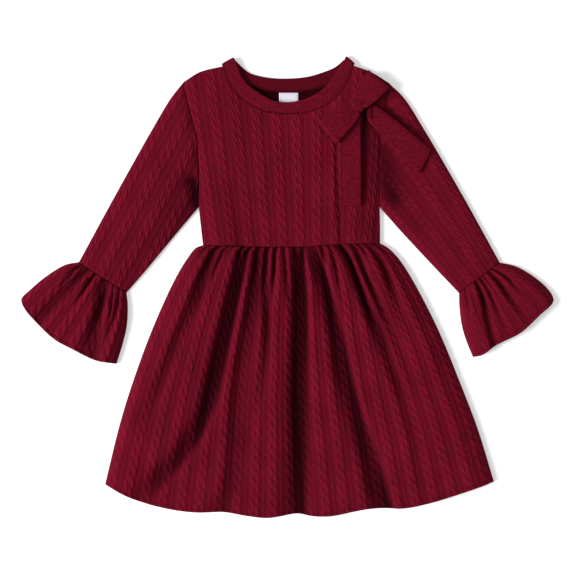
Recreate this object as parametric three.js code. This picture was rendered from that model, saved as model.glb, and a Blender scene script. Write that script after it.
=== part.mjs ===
// Toddler party dress in cable knit, laid flat with its front up.
// Lengths are millimetres. X runs across the dress, Y runs from hem to neck, and Z is up
// from the surface that it lies on. Left and right are as seen from above.

import * as THREE from 'three';

// Driving dimensions
const CLOTH = 2.2; // wall of the cable knit
const BAND_CLOTH = 2.8; // doubled knit of the neckband
const BOW_CLOTH = 1.8; // folded strip of the bow and its tails
const LABEL_CLOTH = 1;
const SEAM = 0.3; // gap between pieces that are sewn together or lie on each other
const CURVED_SEAM = 0.5; // the same gap where both edges are curved
const CUFF_SEAM = 0.36; // the same gap between a sleeve and its cuff, measured along the sleeve
const LOFT = 3.2; // the most that the bodice and the sleeves stand clear of the layer below
const FOLD_LOFT = 6.4; // the same for the folds of the skirt and the cuffs
const CABLE_HEIGHT = 1.8;
const CABLE_SWING = 0.1; // of a cable's crest to each side, as a share of the pitch
const CABLE_SHARPNESS = 1.5; // higher is narrower
const SKIRT_CABLES = 22;
const BODICE_CABLES = 10;
const SLEEVE_CABLES = 4;
const CUFF_CABLES = 7;
const COLUMNS_PER_CABLE = 4;
const COLUMNS_PER_CUFF_CABLE = 5;
const GATHER_SHARE = 0.012; // half width of a small gather at the waist, as a share of the skirt's
const BACK_GATHERS = 18; // gathers of the back skirt, on the face that lies on the surface
const COLUMNS_PER_BACK_GATHER = 4;
const UNDER_GATHER_DEPTH = 0.9;
const CREASE_DEPTH = 1.6; // soft creases of the bodice and the sleeves

// Heights that follow from them
const BACK_TOP = CLOTH;
const FRONT_UNDER = BACK_TOP + SEAM;
const PANEL_TOP = FRONT_UNDER + LOFT + CLOTH + CABLE_HEIGHT;
const TAIL_UNDER = PANEL_TOP + SEAM;
const LOOP_UNDER = TAIL_UNDER + BOW_CLOTH + SEAM;

// Outlines, each a short list of [x, y] points on a smooth curve
const OUTLINE = {
  shoulderLeft: [[-130.5, 256], [-109.5, 269], [-81, 276]],
  shoulderRight: [[82.5, 277], [105.5, 268.5], [128, 254.5]],
  armholeLeft: [[-130.5, 256], [-124.5, 232], [-119.5, 212], [-113, 187], [-111, 157], [-110, 122],
    [-110.5, 101]],
  armholeRight: [[128, 254.5], [123, 229.5], [117, 199.5], [114.5, 166], [114.5, 134.5], [115, 101]],
  sideLeft: [[-110.5, 101], [-108, 74.5], [-105.5, 53]],
  sideRight: [[115, 101], [115.5, 74.5], [115.5, 55.5]],
  waist: [[-105.5, 53], [-34.5, 51], [15.5, 51], [65.5, 54], [115.5, 55.5]],
  neckFrontSeam: [[-81, 276], [-72, 254.5], [-62, 241], [-47, 228.5], [-27, 220], [0.5, 217],
    [25.5, 219.5], [45.5, 226], [60.5, 237], [72, 252], [82.5, 277]],
  neckFrontFree: [[-65.5, 284.5], [-54.5, 259.5], [-44.5, 249.5], [-32, 241], [-17, 233.5], [0.5, 231.5],
    [18, 234.5], [35.5, 242], [48, 252], [60.5, 268.5], [71.5, 286]],
  neckBackSeam: [[-81, 276], [-64.5, 262], [-42, 251], [-14.5, 244.5], [15.5, 244.5], [48, 252], [65.5, 262],
    [82.5, 277]],
  neckBackFree: [[-65.5, 284.5], [-48, 269], [-34.5, 264.5], [-18, 262], [-0.5, 261.5], [15.5, 262.5],
    [28, 264.5], [44.5, 269.5], [59.5, 276], [71.5, 286]],
  skirtLeft: [[-105.5, 53], [-114.5, 49.5], [-124.5, 37], [-139.5, 12], [-168, -50.5], [-195.5, -125.5],
    [-210.5, -175.5], [-227.5, -245.5]],
  skirtRight: [[115.5, 55.5], [125.5, 49.5], [138, 37], [154.5, 12], [187, -50.5], [218, -125.5],
    [237, -175.5], [257.5, -242]],
  skirtHem: [[-227.5, -245.5], [-193, -263], [-147, -275.5], [-115.5, -279.5], [-78, -279.5], [-47, -284.5],
    [-24.5, -286.5], [12, -281.5], [28, -284], [53, -284.5], [100.5, -275.5], [147, -274.5],
    [178, -268], [215.5, -256.5], [257.5, -242]],
};

// Each sleeve and cuff from its four edges; upper is the edge away from the body
const SLEEVES = {
  left: {
    armhole: OUTLINE.armholeLeft,
    upper: [[-130.5, 256], [-145.5, 237], [-168, 199.5], [-217, 112], [-260.5, 32]],
    lower: [[-110.5, 101], [-133, 74.5], [-174.5, 24.5], [-201, -6]],
    cuffUpper: [[-260.5, 32], [-278, 28.5], [-304.5, 12], [-322, -3], [-332.5, -15.5]],
    cuffLower: [[-201, -6], [-199.5, -21.5], [-200.5, -46.5], [-205.5, -69], [-213, -92]],
    cuffHem: [[-332.5, -15.5], [-318, -38], [-292, -63], [-268, -75.5], [-239.5, -88], [-213, -92]],
  },
  right: {
    armhole: OUTLINE.armholeRight,
    upper: [[128, 254.5], [145.5, 237], [169.5, 199.5], [220.5, 112], [265, 31.5]],
    lower: [[115, 101], [138, 74.5], [184.5, 24.5], [214, -6.5]],
    cuffUpper: [[265, 31.5], [284.5, 27], [303, 17], [322, 2], [332.5, -14]],
    cuffLower: [[214, -6.5], [214.5, -21.5], [217.5, -46.5], [223, -65.5], [232, -84.5]],
    cuffHem: [[332.5, -14], [315.5, -33], [290.5, -56.5], [262, -74], [240.5, -85.5], [232, -84.5]],
  },
};

// Folds are valleys that run down a panel. across gives the share of the panel's width, from the left or
// the upper edge, and deep the share of the full height that is lost, both at even steps from the panel's
// top to its foot. left and right are the widths of a valley's two sides, as shares too.
const SKIRT_VALLEYS = [
  { across: [0.09, 0.101, 0.077, 0.04, 0.02], left: 0.024, right: 0.018, deep: [0.75, 0.7, 0.3, 0.15, 0] },
  { across: [0.256, 0.243, 0.22, 0.163, 0.075], left: 0.036, right: 0.024, deep: [0.4, 1, 1, 0.8, 0.25] },
  { across: [0.318, 0.33, 0.312, 0.32, 0.285], left: 0.022, right: 0.024,
    deep: [0.75, 0.75, 0.5, 0.45, 0.35] },
  { across: [0.368, 0.38, 0.378, 0.345, 0.335], left: 0.017, right: 0.014,
    deep: [0.75, 0.65, 0.4, 0.25, 0.1] },
  { across: [0.54, 0.53, 0.507, 0.496, 0.485], left: 0.042, right: 0.024, deep: [0.4, 1, 1, 0.95, 0.75] },
  { across: [0.614, 0.633, 0.644, 0.673, 0.708], left: 0.036, right: 0.018,
    deep: [0.6, 0.85, 0.8, 0.75, 0.8] },
  { across: [0.767, 0.776, 0.807, 0.83, 0.82], left: 0.02, right: 0.017, deep: [0.9, 0.9, 0.5, 0.3, 0.1] },
  { across: [0.836, 0.826, 0.845, 0.85, 0.85], left: 0.014, right: 0.014, deep: [0.6, 0.6, 0.2, 0, 0] },
  { across: [0.925, 0.897, 0.88, 0.88, 0.88], left: 0.022, right: 0.018, deep: [0.45, 0.4, 0, 0, 0] },
];
const CUFF_VALLEYS = {
  left: [
    { across: [0.07, 0.19, 0.2], left: 0.03, right: 0.03, deep: [0.6, 0.1, 0] },
    { across: [0.2, 0.315, 0.3], left: 0.05, right: 0.022, deep: [0.7, 0.35, 0.3] },
    { across: [0.36, 0.43, 0.43], left: 0.03, right: 0.018, deep: [0.8, 0.2, 0] },
    { across: [0.57, 0.675, 0.68], left: 0.08, right: 0.035, deep: [0.7, 0.95, 0.6] },
    { across: [0.74, 0.815, 0.84], left: 0.025, right: 0.02, deep: [0.6, 0.35, 0] },
    { across: [0.86, 0.86, 0.86], left: 0.03, right: 0.02, deep: [0.7, 0.4, 0] },
  ],
  right: [
    { across: [0.2, 0.23, 0.23], left: 0.02, right: 0.02, deep: [0.5, 0.2, 0] },
    { across: [0.28, 0.36, 0.36], left: 0.03, right: 0.035, deep: [0.6, 0.7, 0.1] },
    { across: [0.42, 0.45, 0.45], left: 0.02, right: 0.02, deep: [0.5, 0, 0] },
    { across: [0.5, 0.56, 0.575], left: 0.02, right: 0.022, deep: [0.7, 0.5, 0] },
    { across: [0.595, 0.68, 0.765], left: 0.03, right: 0.04, deep: [0.7, 1, 0.6] },
    { across: [0.85, 0.87, 0.87], left: 0.03, right: 0.03, deep: [0.5, 0, 0] },
  ],
};
// Small gathers between the folds: at the waist seam and at their foot, how far down they run, how deep
const SKIRT_GATHERS = [
  { at: 0.05, foot: 0.052, reach: 0.1, deep: 0.4 },
  { at: 0.152, foot: 0.157, reach: 0.24, deep: 0.55 },
  { at: 0.178, foot: 0.165, reach: 0.1, deep: 0.4 },
  { at: 0.232, foot: 0.24, reach: 0.13, deep: 0.9 },
  { at: 0.276, foot: 0.262, reach: 0.13, deep: 0.9 },
  { at: 0.418, foot: 0.415, reach: 0.28, deep: 0.7 },
  { at: 0.463, foot: 0.488, reach: 0.3, deep: 0.5 },
  { at: 0.517, foot: 0.53, reach: 0.13, deep: 0.9 },
  { at: 0.567, foot: 0.545, reach: 0.13, deep: 0.9 },
  { at: 0.662, foot: 0.655, reach: 0.12, deep: 0.8 },
  { at: 0.706, foot: 0.694, reach: 0.26, deep: 0.5 },
  { at: 0.742, foot: 0.745, reach: 0.07, deep: 0.5 },
  { at: 0.876, foot: 0.862, reach: 0.1, deep: 0.5 },
  { at: 0.965, foot: 0.97, reach: 0.1, deep: 0.5 },
];
const GATHER_HOLD = 0.3; // share of a gather's reach over which it keeps its full depth
const WAIST_HEIGHT = 0.62; // share of the folds' height right at the waist seam
const WAIST_REACH = 0.1;
const CABLE_START = 0.02; // shares of the skirt's length over which its cables rise out of the gathers
const CABLE_FULL = 0.16;
const BACK_GATHER_FADE = 0.2;
const BODICE_VALLEYS = [
  { across: [0.75, 0.765, 0.775], left: 0.02, right: 0.02, deep: [0, 0.6, 0.3] },
  { across: [0.9, 0.918, 0.93], left: 0.024, right: 0.02, deep: [0.2, 1, 0.7] },
  { across: [0.05, 0.1, 0.2], left: 0.06, right: 0.035, deep: [0, 0.1, 0.35] },
];
const SLEEVE_VALLEYS = [
  { across: [0.84, 0.87, 0.9, 0.9, 0.9], left: 0.14, right: 0.12, deep: [1, 0.5, 0, 0, 0] },
];
// How far in the fronts reach their height and the cables theirs, as shares of each width
const SKIRT_EDGE = 0.05;
const BODICE_EDGE = { rise: 0.09, cable: 0.03 };
const SLEEVE_EDGE = { rise: 0.14, cable: 0.06 };
const CUFF_EDGE = { rise: 0.1, cable: 0.05 };
const CUFF_SEAM_HEIGHT = 0.45; // share of the folds' height at the cuff's seam
const CUFF_REACH = 0.35;

// Grid sizes
const SKIRT_ROWS = 20;
const SKIRT_INNER_ROWS = 10;
const BACK_GATHER_ROWS = [0, 0.04, 0.1, 0.2, 0.4, 0.7, 1];
const BODICE_ROWS = 16;
const BACK_BODICE_ROWS = 10;
const SLEEVE_ROWS = 16;
const CUFF_ROWS = 8;
const INNER_ROWS = 6;
const INNER_COLUMNS = 14;
const TUBE_UNDER_COLUMNS = 6;

const { lerp, clamp, smoothstep } = THREE.MathUtils;

function steps(count) {
  return Array.from({ length: count + 1 }, (_, i) => i / count);
}

function hump(distance, width) {
  return Math.exp(-((distance / width) ** 2));
}

// A smooth curve in plan through points, read by its share of length
function alongCurve(points) {
  const places = points.map(([x, y]) => new THREE.Vector3(x, y, 0));
  const curve = new THREE.CatmullRomCurve3(places, false, 'centripetal');
  return (share) => curve.getPointAt(clamp(share, 0, 1));
}

// A smooth line of y by x through points
function heightByX(points) {
  const slopes = points.map((_, i) => {
    const before = points[Math.max(i - 1, 0)];
    const after = points[Math.min(i + 1, points.length - 1)];
    return (after[1] - before[1]) / (after[0] - before[0]);
  });
  return (x) => {
    let i = 0;
    while (i < points.length - 2 && x > points[i + 1][0]) i += 1;
    const [x0, y0] = points[i];
    const [x1, y1] = points[i + 1];
    const span = x1 - x0;
    const t = clamp((x - x0) / span, 0, 1);
    const start = 1 + t * t * (2 * t - 3);
    const leave = t * (t - 1) * (t - 1) * span * slopes[i];
    const arrive = t * t * (t - 1) * span * slopes[i + 1];
    return start * y0 + (1 - start) * y1 + leave + arrive;
  };
}

// A value from a short list at even steps, read in between by straight lines
function fromSteps(list, share) {
  const place = clamp(share, 0, 1) * (list.length - 1);
  const i = Math.min(Math.floor(place), list.length - 2);
  return lerp(list[i], list[i + 1], place - i);
}

// How far a panel stands up at a place, from 0 in the deepest valley to 1 on a ridge
function fullness(valleys, across, down) {
  let full = 1;
  for (const { across: path, left, right, deep } of valleys) {
    const distance = across - fromSteps(path, down);
    full *= 1 - fromSteps(deep, down) * hump(distance, distance < 0 ? left : right);
  }
  return full;
}

// Rounded cable ridges across a panel. The crest swings from side to side along the cable, as its twist does.
function cableRelief(cables, across, twist) {
  const phase = across * cables - 0.5 + CABLE_SWING * twist;
  return CABLE_HEIGHT * (0.5 + 0.5 * Math.cos(2 * Math.PI * phase)) ** CABLE_SHARPNESS;
}

// The same for small gathers, which fade out downwards
function gatherFullness(gathers, across, down) {
  let full = 1;
  for (const { at, foot, reach, deep } of gathers) {
    const fade = 1 - smoothstep(down, reach * GATHER_HOLD, reach);
    full *= 1 - deep * fade * hump(across - lerp(at, foot, clamp(down / reach, 0, 1)), GATHER_SHARE);
  }
  return full;
}

// Even gathers, 0 in each valley and 1 on each ridge
function evenGathers(count, across) {
  return 0.5 - 0.5 * Math.cos(2 * Math.PI * count * across);
}

// A patch between four edges: left and right go down, top and foot go across
function patch(left, right, top, foot) {
  const corner = { a: left(0), b: right(0), c: left(1), d: right(1) };
  return (across, down) => {
    const result = [];
    for (const axis of ['x', 'y']) {
      const sides = lerp(left(down)[axis], right(down)[axis], across);
      const ends = lerp(top(across)[axis], foot(across)[axis], down);
      const upper = lerp(corner.a[axis], corner.b[axis], across);
      const lower = lerp(corner.c[axis], corner.d[axis], across);
      result.push(sides + ends - lerp(upper, lower, down));
    }
    return result;
  };
}

// Fills the strip between two rows of points that end side by side
function strip(faces, rowA, sharesA, rowB, sharesB) {
  let a = 0;
  let b = 0;
  while (a < rowA.length - 1 || b < rowB.length - 1) {
    const nextA = a < rowA.length - 1 ? sharesA[a + 1] : Infinity;
    const nextB = b < rowB.length - 1 ? sharesB[b + 1] : Infinity;
    if (nextA <= nextB) {
      faces.push(rowA[a], rowA[a + 1], rowB[b]);
      a += 1;
    } else {
      faces.push(rowA[a], rowB[b + 1], rowB[b]);
      b += 1;
    }
  }
}

function reversed(row, shares) {
  return [[...row].reverse(), shares.map((share) => 1 - share).reverse()];
}

// Points of a grid are numbered row by row; a closed grid joins its last column to its first
function addGrid(points, shares, downs, place) {
  const start = points.length;
  for (const down of downs) {
    for (const across of shares) points.push(place(across, down));
  }
  return downs.map((_, r) => shares.map((__, c) => start + r * shares.length + c));
}

function gridFaces(faces, rows, outwards) {
  for (let r = 0; r < rows.length - 1; r += 1) {
    for (let c = 0; c < rows[r].length - 1; c += 1) {
      const a = rows[r][c];
      const b = rows[r][c + 1];
      const below = rows[r + 1][c];
      const across = rows[r + 1][c + 1];
      if (outwards) faces.push(a, below, b, below, across, b);
      else faces.push(a, b, below, below, b, across);
    }
  }
}

function volumeOf(points, faces) {
  let sum = 0;
  for (let i = 0; i < faces.length; i += 3) {
    const [a, b, c] = [0, 1, 2].map((k) => new THREE.Vector3(...points[faces[i + k]]));
    sum += a.dot(b.cross(c));
  }
  return sum / 6;
}

function solid(points, faces) {
  const turned = volumeOf(points, faces) < 0;
  const index = [];
  for (let i = 0; i < faces.length; i += 3) {
    if (turned) index.push(faces[i], faces[i + 2], faces[i + 1]);
    else index.push(faces[i], faces[i + 1], faces[i + 2]);
  }
  const geometry = new THREE.BufferGeometry();
  geometry.setAttribute('position', new THREE.Float32BufferAttribute(points.flat(), 3));
  geometry.setIndex(index);
  return geometry;
}

// A closed panel: face is one side, lining the other, and their borders are joined
function panel({ face, lining }) {
  const points = [];
  const faces = [];
  const outer = addGrid(points, face.across, face.down, face.place);
  const inner = addGrid(points, lining.across, lining.down, lining.place);
  gridFaces(faces, outer, true);
  gridFaces(faces, inner, false);
  const last = outer.length - 1;
  const lastIn = inner.length - 1;
  const left = (rows) => rows.map((row) => row[0]);
  const right = (rows) => rows.map((row) => row[row.length - 1]);
  strip(faces, outer[0], face.across, inner[0], lining.across);
  strip(faces, right(outer), face.down, right(inner), lining.down);
  strip(faces, ...reversed(outer[last], face.across), ...reversed(inner[lastIn], lining.across));
  strip(faces, ...reversed(left(outer), face.down), ...reversed(left(inner), lining.down));
  return solid(points, faces);
}

// A closed tube wall, open at both ends: skin outside, hollow inside, both read round from 0 to 1
function tube({ skin, hollow }) {
  const points = [];
  const faces = [];
  const close = (rows) => rows.map((row) => [...row, row[0]]);
  const outer = close(addGrid(points, skin.round, skin.along, skin.place));
  const inner = close(addGrid(points, hollow.round, hollow.along, hollow.place));
  const outerShares = [...skin.round, 1];
  const innerShares = [...hollow.round, 1];
  gridFaces(faces, outer, true);
  gridFaces(faces, inner, false);
  strip(faces, outer[0], outerShares, inner[0], innerShares);
  strip(
    faces,
    ...reversed(outer[outer.length - 1], outerShares),
    ...reversed(inner[inner.length - 1], innerShares),
  );
  return solid(points, faces);
}

// Where a panel's outside is looked at around a place, in steps of its inside's grid
const NEAR_ACROSS = [-1, -0.75, -0.5, -0.25, 0, 0.25, 0.5, 0.75, 1];
const NEAR_DOWN = [-1, -0.5, 0, 0.5, 1];

// The plain inside of a panel: one cloth below the lowest point of its outside near each place
function plainUnder(top, loft, acrossStep, downStep, acrossShare, downShare) {
  let lowest = Infinity;
  for (const i of NEAR_ACROSS) {
    for (const j of NEAR_DOWN) {
      const across = clamp(acrossShare + i * acrossStep, 0, 1);
      const down = clamp(downShare + j * downStep, 0, 1);
      lowest = Math.min(lowest, top(across, down));
    }
  }
  return clamp(lowest - CLOTH, FRONT_UNDER, FRONT_UNDER + loft);
}

// Fades a form out towards both edges of a panel
function edgeFade(across, margin) {
  return smoothstep(across, 0, margin) * smoothstep(1 - across, 0, margin);
}

const meshes = [];

function add(name, geometry, finish) {
  const mesh = new THREE.Mesh(geometry, new THREE.MeshStandardMaterial(finish));
  mesh.name = name;
  meshes.push(mesh);
}

const CABLE_KNIT = { color: 0x6b1023, roughness: 0.9, metalness: 0 };
const PLAIN_KNIT = { color: 0x741328, roughness: 0.85, metalness: 0 };
const LABEL_FABRIC = { color: 0xe6e0e8, roughness: 0.6, metalness: 0 };

// Skirt
function skirtPlan() {
  const waist = heightByX(OUTLINE.waist);
  const left = alongCurve(OUTLINE.skirtLeft);
  const right = alongCurve(OUTLINE.skirtRight);
  const top = (across) => {
    const x = lerp(OUTLINE.skirtLeft[0][0], OUTLINE.skirtRight[0][0], across);
    return new THREE.Vector3(x, waist(x), 0);
  };
  const plan = patch(left, right, top, alongCurve(OUTLINE.skirtHem));
  return (across, down) => {
    const [x, y] = plan(across, down);
    return [x, y - SEAM / 2];
  };
}

const SKIRT_COLUMNS = SKIRT_CABLES * COLUMNS_PER_CABLE;

function frontSkirtTop(across, down) {
  const folds = fullness(SKIRT_VALLEYS, across, down) * gatherFullness(SKIRT_GATHERS, across, down);
  const nearWaist = lerp(WAIST_HEIGHT, 1, smoothstep(down, 0, WAIST_REACH));
  const twist = Math.cos(Math.PI * SKIRT_ROWS * down);
  const cable = cableRelief(SKIRT_CABLES, across, twist) * smoothstep(down, CABLE_START, CABLE_FULL);
  return FRONT_UNDER + CLOTH + FOLD_LOFT * folds * nearWaist * edgeFade(across, SKIRT_EDGE) + cable;
}

function addSkirt() {
  const plan = skirtPlan();
  const under = (across, down) => {
    return plainUnder(frontSkirtTop, FOLD_LOFT, 1 / SKIRT_COLUMNS, 1 / SKIRT_INNER_ROWS, across, down);
  };
  add('front_skirt', panel({
    face: {
      across: steps(SKIRT_COLUMNS),
      down: steps(SKIRT_ROWS),
      place: (across, down) => [...plan(across, down), frontSkirtTop(across, down)],
    },
    lining: {
      across: steps(SKIRT_COLUMNS),
      down: steps(SKIRT_INNER_ROWS),
      place: (across, down) => [...plan(across, down), under(across, down)],
    },
  }), CABLE_KNIT);
  add('back_skirt', panel({
    face: {
      across: steps(INNER_COLUMNS),
      down: steps(INNER_ROWS),
      place: (across, down) => [...plan(across, down), BACK_TOP],
    },
    lining: {
      across: steps(BACK_GATHERS * COLUMNS_PER_BACK_GATHER),
      down: BACK_GATHER_ROWS,
      place: (across, down) => {
        const fade = 1 - smoothstep(down, 0, BACK_GATHER_FADE);
        return [...plan(across, down), UNDER_GATHER_DEPTH * evenGathers(BACK_GATHERS, across) * fade];
      },
    },
  }), CABLE_KNIT);
}

// Bodice
const BODICE_COLUMNS = BODICE_CABLES * COLUMNS_PER_CABLE;
const NECK_FIRST_COLUMN = 8; // the column at the left end of the neckline
const NECK_LAST_COLUMN = 33;

function bodiceShares() {
  const first = OUTLINE.shoulderLeft[0][0];
  const last = OUTLINE.shoulderRight[2][0];
  const shares = steps(BODICE_COLUMNS);
  shares[NECK_FIRST_COLUMN] = (OUTLINE.shoulderLeft[2][0] - first) / (last - first);
  shares[NECK_LAST_COLUMN] = (OUTLINE.shoulderRight[0][0] - first) / (last - first);
  return shares;
}

// Top edge of a bodice panel: a shoulder, the neckline and the other shoulder
function bodiceTopEdge(neckSeam, gap) {
  const lines = [OUTLINE.shoulderLeft, neckSeam, OUTLINE.shoulderRight].map(heightByX);
  const neckStart = neckSeam[0][0];
  const neckEnd = neckSeam[neckSeam.length - 1][0];
  return (across) => {
    const x = lerp(OUTLINE.shoulderLeft[0][0], OUTLINE.shoulderRight[2][0], across);
    const onNeck = x >= neckStart && x <= neckEnd;
    const line = onNeck ? 1 : Number(x > neckEnd) * 2;
    const spread = onNeck ? gap * (2 * x - neckStart - neckEnd) / (neckEnd - neckStart) : 0;
    return new THREE.Vector3(x + spread, lines[line](x) - gap, 0);
  };
}

function bodicePlan(neckSeam) {
  const left = alongCurve([...OUTLINE.armholeLeft, ...OUTLINE.sideLeft.slice(1)]);
  const right = alongCurve([...OUTLINE.armholeRight, ...OUTLINE.sideRight.slice(1)]);
  const waist = heightByX(OUTLINE.waist);
  const foot = (across) => {
    const x = lerp(OUTLINE.waist[0][0], OUTLINE.waist[4][0], across);
    return new THREE.Vector3(x, waist(x), 0);
  };
  const plan = patch(left, right, bodiceTopEdge(neckSeam, CURVED_SEAM), foot);
  return (across, down) => {
    const [x, y] = plan(across, down);
    return [x + SEAM * (0.5 - across), y + SEAM * (down - 0.5)];
  };
}

// A front layer of the bodice or a sleeve: its rise with soft creases in it, and its cables
function smoothFront(across, down, { valleys, depth, cables, rows, edge }) {
  const rise = LOFT * edgeFade(across, edge.rise);
  const creases = depth * (1 - fullness(valleys, across, down));
  const twist = Math.cos(Math.PI * rows * down);
  const cable = cableRelief(cables, across, twist) * edgeFade(across, edge.cable);
  return FRONT_UNDER + CLOTH + rise - Math.min(creases, rise) + cable;
}

const BODICE_FRONT = {
  valleys: BODICE_VALLEYS,
  depth: CREASE_DEPTH,
  cables: BODICE_CABLES,
  rows: BODICE_ROWS,
  edge: BODICE_EDGE,
};

function frontBodiceTop(across, down) {
  return smoothFront(across, down, BODICE_FRONT);
}

function addBodice() {
  const shares = bodiceShares();
  const frontPlan = bodicePlan(OUTLINE.neckFrontSeam);
  const backPlan = bodicePlan(OUTLINE.neckBackSeam);
  const inner = shares.filter((_, i) => i % 2 === 0 || (i > NECK_FIRST_COLUMN && i <= NECK_LAST_COLUMN));
  const under = (across, down) => {
    return plainUnder(frontBodiceTop, LOFT, 2 / BODICE_COLUMNS, 1 / INNER_ROWS, across, down);
  };
  add('front_bodice', panel({
    face: {
      across: shares,
      down: steps(BODICE_ROWS),
      place: (across, down) => [...frontPlan(across, down), frontBodiceTop(across, down)],
    },
    lining: {
      across: inner,
      down: steps(INNER_ROWS),
      place: (across, down) => [...frontPlan(across, down), under(across, down)],
    },
  }), CABLE_KNIT);
  add('back_bodice', panel({
    face: {
      across: inner,
      down: steps(BACK_BODICE_ROWS),
      place: (across, down) => [...backPlan(across, down), BACK_TOP],
    },
    lining: {
      across: inner,
      down: steps(BACK_BODICE_ROWS),
      place: (across, down) => [...backPlan(across, down), 0],
    },
  }), CABLE_KNIT);
}

// Neckband: a doubled strip that runs round the neck and folds at the two shoulder points
const BAND_BACK_MIDDLE = BAND_CLOTH / 2;
const BAND_FOLD_MIDDLE = BACK_TOP + SEAM + BAND_CLOTH * 1.5;
const BAND_FRONT_MIDDLE = FRONT_UNDER + LOFT + BAND_CLOTH / 2;
const BAND_FOLD_STEPS = 4;
const BAND_SEAM_INSET = 0.2; // clear of the bodice's edge
const BAND_ROUNDING = 0.84; // of its free edge

// One cross section of the band: free edge, middle and seam edge, on the outer and the inner face
function bandSection(free, seam, middle, normal) {
  const half = BAND_CLOTH / 2;
  const across = seam.clone().sub(free).normalize();
  const at = (share, side, inset) => {
    const p = free.clone().lerp(seam, share).addScaledVector(across, inset);
    p.z += middle;
    return p.addScaledVector(normal, side * half).toArray();
  };
  const gap = -BAND_SEAM_INSET;
  const round = BAND_ROUNDING;
  return [at(0, 1, round), at(1, 1, gap), at(1, -1, gap), at(0, -1, round), at(0, 0, 0)];
}

function addNeckband() {
  const shares = bodiceShares().slice(NECK_FIRST_COLUMN, NECK_LAST_COLUMN + 1);
  const side = (seamPoints, freePoints) => {
    const edge = bodiceTopEdge(seamPoints, 0);
    const seam = shares.map(edge);
    const lengths = [0];
    for (let i = 1; i < seam.length; i += 1) lengths.push(lengths[i - 1] + seam[i].distanceTo(seam[i - 1]));
    const free = alongCurve(freePoints);
    return seam.map((point, i) => ({ seam: point, free: free(lengths[i] / lengths[lengths.length - 1]) }));
  };
  const front = side(OUTLINE.neckFrontSeam, OUTLINE.neckFrontFree);
  const back = side(OUTLINE.neckBackSeam, OUTLINE.neckBackFree).reverse();
  const up = new THREE.Vector3(0, 0, 1);
  const down = new THREE.Vector3(0, 0, -1);
  const sections = [];
  front.forEach(({ free, seam }, i) => {
    const rise = Math.sin((Math.PI * i) / (front.length - 1)) ** 0.5;
    sections.push(bandSection(free, seam, lerp(BAND_FOLD_MIDDLE, BAND_FRONT_MIDDLE, rise), up));
  });
  const fold = (tip, before, turn) => {
    const ahead = tip.seam.clone().sub(before.seam).normalize();
    const radius = (BAND_FOLD_MIDDLE - BAND_BACK_MIDDLE) / 2;
    for (let i = 1; i < BAND_FOLD_STEPS; i += 1) {
      const angle = turn * (Math.PI / 2 - (Math.PI * i) / BAND_FOLD_STEPS);
      const normal = ahead.clone().multiplyScalar(Math.cos(angle)).addScaledVector(up, Math.sin(angle));
      const shift = ahead.clone().multiplyScalar(radius * Math.cos(angle));
      const middle = BAND_BACK_MIDDLE + radius * (1 + Math.sin(angle));
      sections.push(bandSection(tip.free.clone().add(shift), tip.seam.clone().add(shift), middle, normal));
    }
  };
  fold(front[front.length - 1], front[front.length - 2], 1);
  back.forEach(({ free, seam }) => sections.push(bandSection(free, seam, BAND_BACK_MIDDLE, down)));
  fold(front[0], front[1], -1);
  const points = sections.flat();
  const size = sections[0].length;
  const faces = [];
  sections.forEach((_, r) => {
    const here = r * size;
    const next = ((r + 1) % sections.length) * size;
    for (let c = 0; c < size; c += 1) {
      const d = (c + 1) % size;
      faces.push(here + c, next + c, here + d, next + c, next + d, here + d);
    }
  });
  add('neckband', solid(points, faces), PLAIN_KNIT);
}

// Sleeves and cuffs: flattened tubes, flat below, with the wall's raised knit on top
const EDGE_SHARE = 0.025; // how far in from a folded edge the tube's flat faces start
const HOLLOW_SHARE = 0.045; // the same for the hollow between the layers

function tubeShares(topColumns) {
  const top = steps(topColumns).slice(1, -1).map((share) => share / 2);
  const below = steps(TUBE_UNDER_COLUMNS).slice(1, -1).map((share) => 0.5 + share / 2);
  const edge = EDGE_SHARE / 2;
  return [0, edge, ...top, 0.5 - edge, 0.5, 0.5 + edge, ...below, 1 - edge];
}

// Turns a place round the tube into its share across the plan, and says which layer it is on
function unroll(round) {
  const across = round <= 0.5 ? round * 2 : 2 - round * 2;
  const onEdge = round === 0 || round === 0.5;
  return { across, onEdge, above: round <= 0.5 };
}

function flatTube(plan, { top, loft, columns, rows }) {
  const hollowTop = steps(INNER_COLUMNS).slice(1, -1).map((share) => share / 2);
  const hollowBelow = steps(TUBE_UNDER_COLUMNS).slice(1, -1).map((share) => 0.5 + share / 2);
  const hollowPlan = (across, down) => plan(lerp(HOLLOW_SHARE, 1 - HOLLOW_SHARE, across), down);
  return tube({
    skin: {
      round: tubeShares(columns),
      along: steps(rows),
      place: (round, down) => {
        const { across, onEdge, above } = unroll(round);
        const z = above ? top(across, down) : 0;
        return [...plan(across, down), onEdge ? FRONT_UNDER : z];
      },
    },
    hollow: {
      round: [0, ...hollowTop, 0.5, ...hollowBelow],
      along: steps(INNER_ROWS),
      place: (round, down) => {
        const { across, onEdge, above } = unroll(round);
        const share = lerp(HOLLOW_SHARE, 1 - HOLLOW_SHARE, across);
        const under = plainUnder(top, loft, 1 / INNER_COLUMNS, 1 / INNER_ROWS, share, down);
        const z = above ? under : BACK_TOP;
        return [...hollowPlan(across, down), onEdge ? (BACK_TOP + FRONT_UNDER) / 2 : z];
      },
    },
  });
}

const SLEEVE_FRONT = {
  valleys: SLEEVE_VALLEYS,
  depth: LOFT,
  cables: SLEEVE_CABLES,
  rows: SLEEVE_ROWS,
  edge: SLEEVE_EDGE,
};

function sleeveTop(across, down) {
  return smoothFront(across, down, SLEEVE_FRONT);
}

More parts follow.
